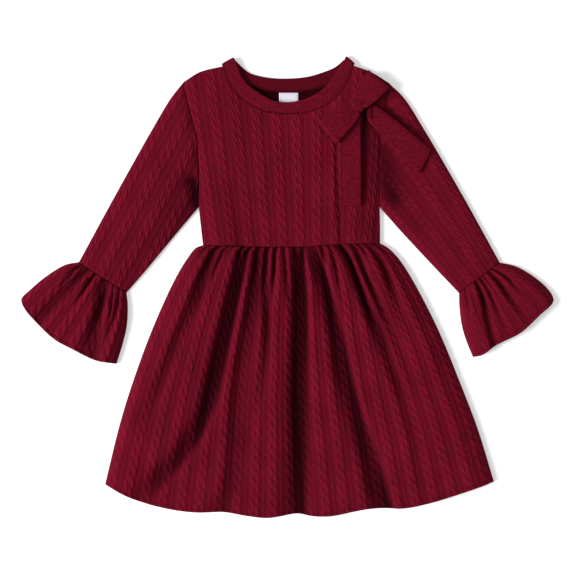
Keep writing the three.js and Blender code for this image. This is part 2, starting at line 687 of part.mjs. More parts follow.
function cuffTop(valleys, across, down) {
  const full = fullness(valleys, across, down) * edgeFade(across, CUFF_EDGE.rise);
  const nearSeam = lerp(CUFF_SEAM_HEIGHT, 1, smoothstep(down, 0, CUFF_REACH));
  const twist = Math.cos(Math.PI * CUFF_ROWS * down);
  const cable = cableRelief(CUFF_CABLES, across, twist) * edgeFade(across, CUFF_EDGE.cable);
  return FRONT_UNDER + CLOTH + FOLD_LOFT * full * nearSeam + cable;
}

function addSleeve(side, edges) {
  const armhole = alongCurve(edges.armhole);
  const upper = alongCurve(edges.upper);
  const lower = alongCurve(edges.lower);
  const seam = alongCurve([edges.upper[edges.upper.length - 1], edges.lower[edges.lower.length - 1]]);
  const hem = alongCurve(edges.cuffHem);
  const sleeve = patch(upper, lower, armhole, seam);
  const cuff = patch(alongCurve(edges.cuffUpper), alongCurve(edges.cuffLower), seam, hem);
  const start = armhole(0.5);
  const axis = seam(0.5).sub(start).normalize();
  const moved = (plan, distance) => (across, down) => {
    const [x, y] = plan(across, down);
    return [x + axis.x * distance * (1 - down), y + axis.y * distance * (1 - down)];
  };
  add(`sleeve_${side}`, flatTube(moved(sleeve, CURVED_SEAM), {
    top: sleeveTop,
    loft: LOFT,
    columns: SLEEVE_CABLES * COLUMNS_PER_CABLE,
    rows: SLEEVE_ROWS,
  }), CABLE_KNIT);
  add(`cuff_ruffle_${side}`, flatTube(moved(cuff, CUFF_SEAM), {
    top: (across, down) => cuffTop(CUFF_VALLEYS[side], across, down),
    loft: FOLD_LOFT,
    columns: CUFF_CABLES * COLUMNS_PER_CUFF_CABLE,
    rows: CUFF_ROWS,
  }), CABLE_KNIT);
}

// Bow
const KNOT = { x: 84.2, y: 227, length: 14.6, width: 21, height: 9.5, turn: 0.82 };
const LOOP_HOLLOW = 3.4; // height of the space inside a loop
const LOOP_PINCH = 0.25; // share of that height where the loop goes under the knot
const LOOP_END = 0.86; // share of a loop's length where its turn at the far end starts
const LOOP_TURN = 0.93; // share of the length that is laid between the loop's two ends
const LOOP_CROWN = 0.5; // rise of the upper layer along its middle
const LOOP_COLUMNS = 6;
const LOOP_ROUND = [0, 0.1, 0.2, 0.3, 0.4, 0.45, 0.475, 0.5, 0.525, 0.55, 0.6, 0.7, 0.8, 0.9, 1];
const KNOT_GRID = [16, 10];
const KNOT_SQUARENESS = 0.6; // 1 is an ellipsoid and 0 a box
const TAIL_COLUMNS = [0, 0.06, 0.2, 0.5, 0.8, 0.94, 1];
const TAIL_ROWS = 8;
const TAIL_ROUNDING = 0.7; // of the long edges of a tail
const LOOPS = {
  upper: { inner: [[82.8, 239], [98, 226.8]], outer: [[98.5, 271], [126, 251.5]] },
  lower: { inner: [[72.5, 225.5], [87, 213.5]], outer: [[38, 204.5], [60, 178]] },
};
const TAILS = {
  long: [[[65, 213], [64.5, 150], [65, 102]], [[91, 213], [92, 150], [92, 102]]],
  short: [
    [[103.5, 228], [142, 199], [179.5, 169.5]],
    [[98.5, 218], [106, 201], [138, 166], [163.5, 140.5]],
  ],
};

// A loop is one strip that goes out on the lower layer, turns at the far end and comes back above
function addLoop(name, { inner, outer }) {
  const middle = LOOP_UNDER + BOW_CLOTH + LOOP_HOLLOW / 2;
  const profile = (round, offset) => {
    const out = 1 - Math.abs(2 * round - 1);
    const radius = LOOP_HOLLOW / 2 + offset;
    const pinch = lerp(LOOP_PINCH, 1, smoothstep(out, 0, 0.5));
    const height = (round < 0.5 ? -1 : 1) * (LOOP_HOLLOW / 2 * pinch + offset);
    const turning = smoothstep(out, LOOP_END, 1);
    return { reach: out, z: middle + height * Math.sqrt(1 - turning ** 2), beyond: turning * radius };
  };
  const start = [lerp(inner[0][0], inner[1][0], 0.5), lerp(inner[0][1], inner[1][1], 0.5)];
  const end = [lerp(outer[0][0], outer[1][0], 0.5), lerp(outer[0][1], outer[1][1], 0.5)];
  const direction = new THREE.Vector2(end[0] - start[0], end[1] - start[1]).normalize();
  const place = (offset) => (across, round) => {
    const { reach, z, beyond } = profile(round, offset);
    const reachNow = Math.min(reach, LOOP_TURN);
    const shift = [direction.x, direction.y].map((value) => value * (beyond - BOW_CLOTH / 2));
    const [x, y] = [0, 1].map((axis) => {
      const narrow = lerp(inner[0][axis], inner[1][axis], across) - start[axis];
      const wide = lerp(outer[0][axis], outer[1][axis], across) - end[axis];
      return lerp(start[axis], end[axis], reachNow) + lerp(narrow, wide, Math.sqrt(reachNow)) + shift[axis];
    });
    const onTop = round < 0.5 ? 0 : 1 - Math.abs(2 * reach - 1);
    return [x, y, z + LOOP_CROWN * Math.sin(Math.PI * across) * onTop];
  };
  add(name, panel({
    face: { across: steps(LOOP_COLUMNS), down: LOOP_ROUND, place: place(BOW_CLOTH) },
    lining: { across: steps(LOOP_COLUMNS), down: LOOP_ROUND, place: place(0) },
  }), PLAIN_KNIT);
}

function addKnot() {
  const geometry = new THREE.SphereGeometry(0.5, ...KNOT_GRID).deleteAttribute('normal').deleteAttribute('uv');
  const position = geometry.getAttribute('position');
  const turned = new THREE.Vector3(0, 0, 1);
  const points = [];
  for (let i = 0; i < position.count; i += 1) {
    const p = new THREE.Vector3().fromBufferAttribute(position, i);
    const boxed = p.toArray().map((value) => Math.sign(value) * Math.abs(value * 2) ** KNOT_SQUARENESS / 2);
    const q = new THREE.Vector3(...boxed).multiply(new THREE.Vector3(KNOT.length, KNOT.width, KNOT.height));
    q.z += KNOT.height / 2;
    q.applyAxisAngle(turned, KNOT.turn);
    points.push(q.x + KNOT.x, q.y + KNOT.y, q.z + TAIL_UNDER);
  }
  geometry.setAttribute('position', new THREE.Float32BufferAttribute(points, 3));
  add('bow_knot', geometry, PLAIN_KNIT);
}

function addTail(name, sides) {
  const edges = sides.map(alongCurve);
  const plan = (across, down) => {
    const a = edges[0](down);
    const b = edges[1](down);
    return [lerp(a.x, b.x, across), lerp(a.y, b.y, across)];
  };
  const top = (across) => BOW_CLOTH - TAIL_ROUNDING * Math.abs(2 * across - 1) ** 4;
  const place = (lift) => (across, down) => [...plan(across, down), TAIL_UNDER + lift(across)];
  add(name, panel({
    face: { across: TAIL_COLUMNS, down: steps(TAIL_ROWS), place: place(top) },
    lining: { across: steps(2), down: steps(TAIL_ROWS / 2), place: place(() => 0) },
  }), PLAIN_KNIT);
}

// Label at the back of the neck, sewn to the lower edge of the band
const LABEL = { left: -12, right: 15, top: 243.5, bottom: 221 };

function addLabel() {
  const width = LABEL.right - LABEL.left;
  const height = LABEL.top - LABEL.bottom;
  const geometry = new THREE.BoxGeometry(width, height, LABEL_CLOTH);
  geometry.translate(LABEL.left + width / 2, LABEL.bottom + height / 2, BACK_TOP + SEAM + LABEL_CLOTH / 2);
  add('neck_label', geometry, LABEL_FABRIC);
}

addSkirt();
addBodice();
addNeckband();
for (const [side, edges] of Object.entries(SLEEVES)) addSleeve(side, edges);
addLoop('bow_loop_upper', LOOPS.upper);
addLoop('bow_loop_lower', LOOPS.lower);
addKnot();
addTail('bow_tail_long', TAILS.long);
addTail('bow_tail_short', TAILS.short);
addLabel();

const dress = new THREE.Group();
dress.add(...meshes);

export default dress;
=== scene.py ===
"""Toddler party dress in cable knit, laid flat with its front up: the finished look.

Sizes in the tables are millimetres and are turned to metres when a mesh is made. X runs across the
dress, Y from hem to neck and Z up from the surface. Left and right are as seen from above.
"""

import bpy
import numpy as np
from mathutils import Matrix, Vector


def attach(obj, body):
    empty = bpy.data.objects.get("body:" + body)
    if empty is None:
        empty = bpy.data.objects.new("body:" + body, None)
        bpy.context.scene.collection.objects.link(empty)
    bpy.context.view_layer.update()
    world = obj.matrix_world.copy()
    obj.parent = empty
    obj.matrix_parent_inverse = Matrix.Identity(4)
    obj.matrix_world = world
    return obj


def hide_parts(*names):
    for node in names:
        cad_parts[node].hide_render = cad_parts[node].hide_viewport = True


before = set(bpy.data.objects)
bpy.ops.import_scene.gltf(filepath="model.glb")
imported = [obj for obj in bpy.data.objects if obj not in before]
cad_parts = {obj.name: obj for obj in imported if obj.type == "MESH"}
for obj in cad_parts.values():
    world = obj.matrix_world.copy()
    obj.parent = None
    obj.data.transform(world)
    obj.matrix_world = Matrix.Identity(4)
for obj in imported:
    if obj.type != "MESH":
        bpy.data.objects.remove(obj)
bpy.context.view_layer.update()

MM = 0.001

# Cloth and layers
CLOTH = 2.2
BAND_CLOTH = 2.8
BOW_CLOTH = 1.8
SEAM = 0.3
SEAM_GAP = 0.04  # between pieces that are sewn together, where the seam closes the gap
BACK_TOP = CLOTH
FRONT_UNDER = BACK_TOP + SEAM
FRONT_TOP = FRONT_UNDER + CLOTH  # lowest outer face of a front layer
PANEL_TOP = 9.7  # top of the cables of a front panel, on which the bow lies

# Cable knit, in mm of the unstretched cloth
ROPE_PITCH = 24.0
TWIST = 14.2  # length of one stitch crossing along a rope
LOBE_OFFSET = 3.1  # of the two rows of crossings from the rope's middle
LOBE_HALF_WIDTH = 1.8
LOBE_LEAN = 0.3  # to the right, per length downwards
ROPE_HALF_WIDTH = 7.4
CABLE_HEIGHT = 1.2
RIB_HEIGHT = 0.3
SKIRT_CABLES = 22
CUFF_CABLES = 7

# Heights of the cloth's folds above FRONT_TOP
SKIRT_CREST = 9.5
BODICE_CREST = 3.2
SLEEVE_CREST = {"left": 5.0, "right": 3.2}
SLEEVE_DOME = {"left": 36.0, "right": 20.0}  # from an edge to the crest
# Knit of the sleeves and cuffs: how much wider its lobes are, and its height as a share of CABLE_HEIGHT
SLEEVE_KNIT = {"left": (1.0, 1.05), "right": (1.0, 0.85)}
CUFF_KNIT = {"left": (1.6, 1.3), "right": (1.6, 0.65)}
ARMHOLE_RISE = 1.9  # of the cloth at the armhole seams
HEM = 4.0  # turned hem, up to its row of stitches
CUFF_CREST = 8.0
CUFF_DOME = 16.0  # from an edge to the crest
ARMHOLE_REACH = 26.0  # over which a sleeve rises from its armhole
SLEEVE_LENGTH = 270.0
CUFF_LENGTH = 90.0
FOLD_RADIUS = 3.4  # of the rolled edges of the sleeves and cuffs
HOLLOW_SHARE = 0.045  # of a sleeve's width, from its edge to the hollow inside
UNDER_RELIEF = 0.7  # the knit of the layers that lie on the surface is pressed flatter
BACK_GATHERS = 18

# Outlines, as short lists of x, y points on smooth curves
SHOULDER_LEFT = [(-130.5, 256), (-109.5, 269), (-81, 276)]
SHOULDER_RIGHT = [(82.5, 277), (105.5, 268.5), (128, 254.5)]
ARMHOLE_LEFT = [(-130.5, 256), (-124.5, 232), (-119.5, 212), (-113, 187), (-111, 157), (-110, 122),
                (-110.5, 101)]
ARMHOLE_RIGHT = [(128, 254.5), (123, 229.5), (117, 199.5), (114.5, 166), (114.5, 134.5), (115, 101)]
SIDE_LEFT = [(-108, 74.5), (-105.5, 53)]
SIDE_RIGHT = [(115.5, 74.5), (115.5, 55.5)]
WAIST = [(-105.5, 53), (-34.5, 51), (15.5, 51), (65.5, 54), (115.5, 55.5)]
NECK_FRONT_SEAM = [(-81, 276), (-72, 254.5), (-62, 241), (-47, 228.5), (-27, 220), (0.5, 217),
                   (25.5, 219.5), (45.5, 226), (60.5, 237), (72, 252), (82.5, 277)]
NECK_FRONT_FREE = [(-65.5, 284.5), (-54.5, 259.5), (-44.5, 249.5), (-32, 241), (-17, 233.5), (0.5, 231.5),
                   (18, 234.5), (35.5, 242), (48, 252), (60.5, 268.5), (71.5, 286)]
NECK_BACK_SEAM = [(-81, 276), (-64.5, 262), (-42, 251), (-14.5, 244.5), (15.5, 244.5), (48, 252),
                  (65.5, 262), (82.5, 277)]
NECK_BACK_FREE = [(-65.5, 284.5), (-48, 269), (-34.5, 264.5), (-18, 262), (-0.5, 261.5), (15.5, 262.5),
                  (28, 264.5), (44.5, 269.5), (59.5, 276), (71.5, 286)]
SKIRT_LEFT = [(-105.5, 53), (-114.5, 49.5), (-124.5, 37), (-139.5, 12), (-168, -50.5), (-195.5, -125.5),
              (-210.5, -175.5), (-227.5, -245.5)]
SKIRT_RIGHT = [(115.5, 55.5), (125.5, 49.5), (138, 37), (154.5, 12), (187, -50.5), (218, -125.5),
               (237, -175.5), (257.5, -242)]
SKIRT_HEM = [(-227.5, -245.5), (-193, -263), (-147, -275.5), (-115.5, -279.5), (-78, -279.5),
             (-47, -284.5), (-24.5, -286.5), (12, -281.5), (28, -284), (53, -284.5), (100.5, -275.5),
             (147, -274.5), (178, -268), (215.5, -256.5), (257.5, -242)]

SLEEVES = {
    "left": dict(
        armhole=ARMHOLE_LEFT,
        upper=[(-130.5, 256), (-145.5, 237), (-168, 199.5), (-217, 112), (-260.5, 32)],
        lower=[(-110.5, 101), (-133, 74.5), (-174.5, 24.5), (-201, -6)],
        cuff_upper=[(-260.5, 32), (-278, 28.5), (-304.5, 12), (-322, -3), (-331, -11.5), (-332.5, -16)],
        cuff_lower=[(-201, -6), (-199.5, -21.5), (-200.5, -46.5), (-205.5, -69), (-213.5, -95)],
        cuff_hem=[(-332.5, -16), (-330, -22), (-318, -38), (-290, -64.5), (-268, -76.5), (-241, -90),
                  (-213.5, -95)],
    ),
    "right": dict(
        armhole=ARMHOLE_RIGHT,
        upper=[(128, 254.5), (145.5, 237), (169.5, 199.5), (220.5, 112), (265, 31.5)],
        lower=[(115, 101), (138, 74.5), (184.5, 24.5), (214, -6.5)],
        cuff_upper=[(265, 31.5), (284.5, 27), (303, 17), (322, 2), (331, -10), (332.5, -15)],
        cuff_lower=[(214, -6.5), (214.5, -21.5), (217.5, -46.5), (223, -65.5), (231.5, -86.5)],
        cuff_hem=[(332.5, -15), (329.5, -20.5), (315.5, -33), (290.5, -56), (262, -70.5), (242, -84),
                  (231.5, -86.5)],
    ),
}


def valley(across, left, right, deep):
    """One valley of the tables below, at even steps down its panel."""
    return dict(across=across, left=left, right=right, deep=deep)


# Valleys between the folds. across and deep are read at even steps from the panel's top to its foot;
# left and right are the widths of the valley's two sides. All are shares of the panel's width or height.
# The valleys also darken the colour: painted shade, deeper where a valley is deeper.
SKIRT_VALLEYS = [
    valley([0.105, 0.115, 0.12, 0.108, 0.095, 0.075, 0.06, 0.045, 0.03], 0.026, 0.02,
           [0.75, 0.8, 0.65, 0.4, 0.3, 0.25, 0.15, 0.05, 0]),
    valley([0.262, 0.27, 0.268, 0.262, 0.254, 0.244, 0.213, 0.158, 0.1], 0.036, 0.02,
           [0.4, 1, 1, 1, 1, 0.95, 0.8, 0.6, 0.3]),
    valley([0.325, 0.338, 0.342, 0.336, 0.328, 0.33, 0.334, 0.33, 0.305], 0.026, 0.026,
           [0.75, 0.8, 0.7, 0.55, 0.45, 0.45, 0.45, 0.4, 0.35]),
    valley([0.372, 0.38, 0.395, 0.405, 0.4, 0.38, 0.365, 0.35, 0.34], 0.018, 0.016,
           [0.75, 0.8, 0.65, 0.4, 0.2, 0.15, 0.1, 0.05, 0]),
    valley([0.54, 0.54, 0.537, 0.529, 0.522, 0.518, 0.515, 0.511, 0.506], 0.042, 0.022,
           [0.4, 1, 1, 1, 1, 1, 0.95, 0.85, 0.75]),
    valley([0.62, 0.638, 0.652, 0.661, 0.668, 0.681, 0.698, 0.713, 0.727], 0.038, 0.016,
           [0.6, 0.85, 0.85, 0.85, 0.8, 0.75, 0.75, 0.75, 0.8]),
    valley([0.77, 0.772, 0.782, 0.8, 0.81, 0.828, 0.832, 0.825, 0.82], 0.022, 0.02,
           [0.9, 1, 0.9, 0.65, 0.4, 0.25, 0.2, 0.15, 0.05]),
    valley([0.838, 0.82, 0.832, 0.842, 0.85, 0.855, 0.855, 0.855, 0.855], 0.016, 0.016,
           [0.6, 0.7, 0.6, 0.35, 0.15, 0, 0, 0, 0]),
    valley([0.925, 0.914, 0.897, 0.885, 0.88, 0.88, 0.88, 0.88, 0.88], 0.024, 0.02,
           [0.45, 0.55, 0.35, 0.1, 0, 0, 0, 0, 0]),
]
CUFF_VALLEYS = {
    "left": [
        valley([0.07, 0.16, 0.19, 0.2, 0.2], 0.03, 0.03, [0.6, 0.5, 0.1, 0, 0]),
        valley([0.2, 0.28, 0.29, 0.27, 0.26], 0.09, 0.05, [0.7, 0.55, 0.4, 0.4, 0.4]),
        valley([0.36, 0.415, 0.43, 0.43, 0.43], 0.03, 0.02, [0.8, 0.7, 0.15, 0, 0]),
        valley([0.585, 0.64, 0.695, 0.74, 0.77], 0.08, 0.06, [0.75, 0.85, 0.75, 0.65, 0.55]),
        valley([0.74, 0.775, 0.815, 0.84, 0.84], 0.025, 0.02, [0.6, 0.4, 0.15, 0, 0]),
        valley([0.86, 0.87, 0.86, 0.86, 0.86], 0.03, 0.02, [0.7, 0.6, 0.4, 0.1, 0]),
    ],
    "right": [
        valley([0.2, 0.215, 0.23, 0.23, 0.23], 0.025, 0.025, [0.5, 0.5, 0.15, 0, 0]),
        valley([0.28, 0.335, 0.36, 0.37, 0.37], 0.034, 0.04, [0.6, 0.6, 0.45, 0.25, 0.1]),
        valley([0.42, 0.44, 0.45, 0.45, 0.45], 0.02, 0.02, [0.5, 0.1, 0, 0, 0]),
        valley([0.5, 0.525, 0.55, 0.57, 0.575], 0.026, 0.028, [0.6, 0.5, 0.35, 0.15, 0]),
        valley([0.6, 0.637, 0.677, 0.722, 0.76], 0.04, 0.04, [0.65, 0.75, 0.65, 0.5, 0.4]),
        valley([0.85, 0.86, 0.87, 0.87, 0.87], 0.03, 0.03, [0.5, 0.2, 0, 0, 0]),
    ],
}
BODICE_VALLEYS = [
    valley([0.75, 0.757, 0.765, 0.77, 0.775], 0.014, 0.013, [0, 0.2, 0.5, 0.5, 0.2]),
    valley([0.9, 0.905, 0.91, 0.915, 0.92], 0.021, 0.028, [0.2, 0.7, 0.35, 0.2, 0.1]),
    valley([0.945, 0.955, 0.96, 0.965, 0.965], 0.05, 0.06, [0.1, 0.45, 0.45, 0.3, 0.1]),
    valley([0.05, 0.08, 0.1, 0.17, 0.2], 0.06, 0.04, [0, 0, 0.05, 0.2, 0.25]),
]
# Creases at the armholes of the sleeves, each a dent that is also painted in shade: start, end, width and
# depth of each, as a share of the height
SLEEVE_CREASES = {
    "left": [((-117, 132), (-111, 104), 8, 0.8), ((-124, 128), (-128, 104), 19, 0.3),
             ((-136, 92), (-168, 56), 14, 0.15)],
    "right": [((118, 172), (131, 118), 17, 0.5), ((120, 146), (133, 112), 10, 0.2),
              # the last crease runs along the upper edge of the bow's short tail: a painted shadow of the
              # tail on the sleeve, with a shallow dent
              ((140, 106), (162, 78), 12, 0.15), ((124, 225), (170, 187), 6, 0.5)],
}
# Small gathers between the folds: place at the seam, place at the foot, how far down, depth
SKIRT_GATHERS = [
    (0.05, 0.052, 0.1, 0.4), (0.152, 0.157, 0.24, 0.55), (0.178, 0.165, 0.1, 0.4), (0.232, 0.24, 0.13, 0.9),
    (0.276, 0.262, 0.13, 0.9), (0.418, 0.415, 0.28, 0.7), (0.463, 0.488, 0.3, 0.5),
    (0.517, 0.53, 0.13, 0.9),
    (0.567, 0.545, 0.13, 0.9), (0.662, 0.655, 0.12, 0.8), (0.706, 0.694, 0.26, 0.5),
    (0.742, 0.745, 0.07, 0.5),
    (0.876, 0.862, 0.1, 0.5), (0.965, 0.97, 0.1, 0.5),
]

# Neckband: heights of its middle at the back, at the two folds and in front
BAND_BACK_MIDDLE = 1.4
BAND_FOLD_MIDDLE = 6.7
BAND_FRONT_MIDDLE = 7.1

# Bow: inner and outer ends of each loop, and the two long sides of each tail
TAIL_UNDER = PANEL_TOP + SEAM
LOOP_UNDER = TAIL_UNDER + BOW_CLOTH + SEAM
LOOP_HOLLOW = 3.4
KNOT = dict(x=86, y=227.8, length=16.5, width=22.5, height=9.5, turn=0.84)
LOOP_UPPER = ([(82, 236.5), (95.5, 224.5)], [(101, 271), (126.6, 248.5)])
LOOP_LOWER = ([(76, 229), (89, 217)], [(38, 204.5), (60, 178)])
TAIL_LONG = ([(65, 213), (64.5, 150), (65, 102)], [(91, 213), (92, 150), (92, 102)])
TAIL_SHORT = ([(108, 228.5), (140, 204.5), (179.5, 171)],
              [(98.5, 222), (100, 209), (108, 199.5), (138, 166.5), (163.5, 141)])
TAIL_FOLD = [((105.5, 227), (106, 211), 1.7, 0.8)]
# Creases that run out of the knot: place at the far end, place at the knot, width, depth, reach
BOW_CREASES = [(0.25, 0.32, 0.12, 0.35, 0.35), (0.8, 0.62, 0.12, 0.4, 0.4)]

LABEL = dict(left=-10.5, right=13.5, top=243.5, bottom=221)
LABEL_CLOTH = 1.0
LABEL_UNDER = BACK_TOP + SEAM

# Grid sizes of the finished surfaces; each outer size is a multiple of LINING_RATIO
LINING_RATIO = 4
SKIRT_GRID = (200, 460)  # rows, columns
BACK_SKIRT_GRID = (200, 232)
BODICE_GRID = (176, 320)
BACK_BODICE_GRID = (148, 168)
SLEEVE_GRID = (176, 176, 64)  # rows, columns above, columns below
CUFF_GRID = (88, 184, 64)
LOOP_GRID = (120, 56)
TAIL_GRID = (96, 32)
LABEL_GRID = (24, 28)
FINISHED = "_finished"  # ending of each finished piece's name

# Studio: lights with place, diameter and power
LIGHTS = [
    ("key", (-10.0, -2.0, 6.7), 6.6, 2150.0),
    ("fill", (0.6, 0.6, 3.2), 3.0, 20.0),
]
WORLD_LIGHT = 0.28
CAMERA_HEIGHT = 2.6
FLOOR_Z = -0.0004


def curve(points):
    """Centripetal Catmull-Rom curve through points, read by its share of length."""
    p = np.array(points, float)
    p = np.vstack([2 * p[0] - p[1], p, 2 * p[-1] - p[-2]])
    knots = np.concatenate([[0], np.cumsum(np.linalg.norm(np.diff(p, axis=0), axis=1) ** 0.5)])

    def blend(t, first, second, i, j):
        return ((knots[j] - t) * first + (t - knots[i]) * second) / (knots[j] - knots[i])

    runs = []
    for i in range(len(p) - 3):
        t = np.linspace(knots[i + 1], knots[i + 2], 40)[:, None]
        a = [blend(t, p[i + k], p[i + k + 1], i + k, i + k + 1) for k in range(3)]
        b = [blend(t, a[k], a[k + 1], i + k, i + k + 2) for k in range(2)]
        runs.append(blend(t, b[0], b[1], i + 1, i + 2))
    line = np.vstack(runs)
    length = np.concatenate([[0], np.cumsum(np.linalg.norm(np.diff(line, axis=0), axis=1))])
    length /= length[-1]
    return lambda share: np.stack([np.interp(share, length, line[:, k]) for k in range(2)], axis=-1)


def smooth_line(points):
    """Cubic Hermite line of y by x through points, each slope taken from its neighbours."""
    x, y = np.array(points, float).T
    slope = np.empty_like(y)
    slope[1:-1] = (y[2:] - y[:-2]) / (x[2:] - x[:-2])
    slope[0] = (y[1] - y[0]) / (x[1] - x[0])
    slope[-1] = (y[-1] - y[-2]) / (x[-1] - x[-2])

    def read(at):
        i = np.clip(np.searchsorted(x, at, side="right") - 1, 0, len(x) - 2)
        span = x[i + 1] - x[i]
        t = np.clip((at - x[i]) / span, 0, 1)
        start = 1 + t * t * (2 * t - 3)
        ends = t * (t - 1) ** 2 * slope[i] + t * t * (t - 1) * slope[i + 1]
        return start * y[i] + (1 - start) * y[i + 1] + ends * span

    return read


def by_steps(values, share):
    """A smooth line through values at even steps of share."""
    return smooth_line(list(zip(np.linspace(0, 1, len(values)), values)))(share)


def smoothstep(value, low, high):
    t = np.clip((value - low) / (high - low), 0, 1)
    return t * t * (3 - 2 * t)


def hump(distance, width):
    return np.exp(-(distance / width) ** 2)


def round_off(distance, radius):
    """How far a rounded edge falls below its crown: a quarter circle over the last radius."""
    inwards = np.clip(distance / radius, 0, 1)
    return radius * (np.sqrt(1 - (1 - inwards) ** 2) - 1)


def patch(left, right, top, foot):
    """Coons patch: edges joined by straight lines both ways, less the plane of the corners."""
    def place(across, down):
        a, d = across[..., None], down[..., None]
        sides = left(down) * (1 - a) + right(down) * a
        ends = top(across) * (1 - d) + foot(across) * d
        upper = left(0.0) * (1 - a) + right(0.0) * a
        lower = left(1.0) * (1 - a) + right(1.0) * a
        return sides + ends - upper * (1 - d) - lower * d

    return place


def grid(rows, columns):
    """Shares across and down of every point of a grid."""
    return np.meshgrid(np.linspace(0, 1, columns + 1), np.linspace(0, 1, rows + 1))


def fullness(valleys, across, down):
    """Height of the folds, from 0 in a valley to 1 on a ridge.

    Each valley is a trough with a flat bottom and two widths: e to the power of minus (distance over
    width) to the power of 2.6."""
    full = np.ones_like(across)
    for row in valleys:
        distance = across - by_steps(row["across"], down)
        width = np.where(distance < 0, row["left"], row["right"])
        full *= 1 - by_steps(row["deep"], down) * np.exp(-np.abs(distance / width) ** 2.6)
    return full


def gather_fullness(gathers, across, down, width):
    """The same for small gathers, each of which fades out downwards."""
    full = np.ones_like(across)
    for at, foot, reach, depth in gathers:
        fade = 1 - smoothstep(down, reach * 0.3, reach)
        path = at + (foot - at) * np.clip(down / reach, 0, 1)
        full *= 1 - depth * fade * hump(across - path, width)
    return full


def uneven(x, y, size):
    """Slow hand-made unevenness: five sine waves of unlike lengths and directions, in about -1 to 1."""
    waves = [(1.0, 0.3, 0.2), (-0.6, 0.9, 1.7), (0.35, 1.3, 4.1), (1.4, -0.8, 2.6), (-1.1, -1.6, 5.3)]
    total = sum(np.sin(2 * np.pi * (a * x + b * y) / size + phase) for a, b, phase in waves)
    return total / len(waves) * 1.6


def cable_relief(place, along, widen=1.0):
    """Height of the cable knit. place counts ropes across, with a rope's middle at each half, and along
    is the distance down it. widen makes the lobes wider where the ropes are drawn together.

    A rope is two rows of slanted lobes on a low swell. Each lobe is an ellipse that leans down to the
    right, and the rows are half a crossing apart. A thin rib between two shallow grooves stands in the
    middle between ropes, and a groove runs beside each rope."""
    x = (place - np.floor(place) - 0.5) * ROPE_PITCH
    lobes = np.zeros_like(x)
    for row in (-1, 1):
        turn = along / TWIST + 0.25 * row
        start = (turn - np.floor(turn) - 0.5) * TWIST
        for q in (start - TWIST, start, start + TWIST):
            aside = (x - row * LOBE_OFFSET - LOBE_LEAN * q) / (LOBE_HALF_WIDTH * widen)
            lobes = np.maximum(lobes, 1 - aside ** 2 - (q / (0.56 * TWIST)) ** 2)
    swell = np.sqrt(np.clip(1 - (x / ROPE_HALF_WIDTH) ** 2, 0, 1))
    rib = ROPE_PITCH / 2 - np.abs(x)
    lines = RIB_HEIGHT * hump(rib, 0.8) - 0.1 * hump(rib - 1.9, 0.8) - 0.06 * hump(np.abs(x) - 8.3, 1.0)
    return CABLE_HEIGHT * (0.38 * swell + 0.62 * np.sqrt(lobes)) + lines


def crease_depth(flat, creases):
    """Depth of creases that run from a start to an end: each is a hump across its line, as wide as it
    says, and falls away past its ends."""
    depth = np.zeros(flat.shape[:-1])
    for start, end, width, deep in creases:
        a, b = np.array(start, float), np.array(end, float)
        share = np.clip(((flat - a) @ (b - a)) / ((b - a) @ (b - a)), 0, 1)
        distance = np.linalg.norm(flat - a - share[..., None] * (b - a), axis=-1)
        depth += deep * hump(distance, width)
    return depth


def normals(points, closed):
    """Unit normals of a grid by cross product of its two directions, turned to face up at its middle top."""
    if closed:
        wide = np.concatenate([points[:, -2:-1], points, points[:, 1:2]], axis=1)
        across = np.gradient(wide, axis=1)[:, 1:-1]
    else:
        across = np.gradient(points, axis=1)
    found = np.cross(np.gradient(points, axis=0), across)
    found /= np.maximum(np.linalg.norm(found, axis=-1, keepdims=True), 1e-9)
    top = np.unravel_index(np.argmax(points[..., 2]), points.shape[:2])
    return found * (1 if found[top][2] > 0 else -1)


def raised(points, relief, closed=False):
    return points + normals(points, closed) * relief[..., None]


def lowest_near(z, reach):
    """The lowest value within reach steps of each point, rows first and then columns."""
    for axis in (0, 1):
        pad = [(0, 0), (0, 0)]
        pad[axis] = (reach, reach)
        wide = np.pad(z, pad, mode="edge")
        size = z.shape[axis]
        shifted = [np.take(wide, np.arange(size) + k, axis=axis) for k in range(2 * reach + 1)]
        z = np.minimum.reduce(shifted)
    return z


def quads_of(rows):
    a, b, c, d = rows[:-1, :-1], rows[:-1, 1:], rows[1:, 1:], rows[1:, :-1]
    return np.stack([a, d, c, b], axis=-1).reshape(-1, 4)


def rim_of(fine, coarse):
    """Triangles between a fine border and a coarse one that share their ends, in step with each other."""
    runs = len(coarse) - 1
    ratio = (len(fine) - 1) // runs
    half = ratio // 2
    index = np.arange(runs)[:, None] * ratio + np.arange(ratio)[None, :]
    near = np.where(np.arange(ratio) < half, 0, 1)[None, :] + np.arange(runs)[:, None]
    fans = np.stack([fine[index], fine[index + 1], coarse[near]], axis=-1).reshape(-1, 3)
    joints = np.stack([fine[np.arange(runs) * ratio + half], coarse[1:], coarse[:-1]], axis=-1)
    return np.vstack([fans, joints])


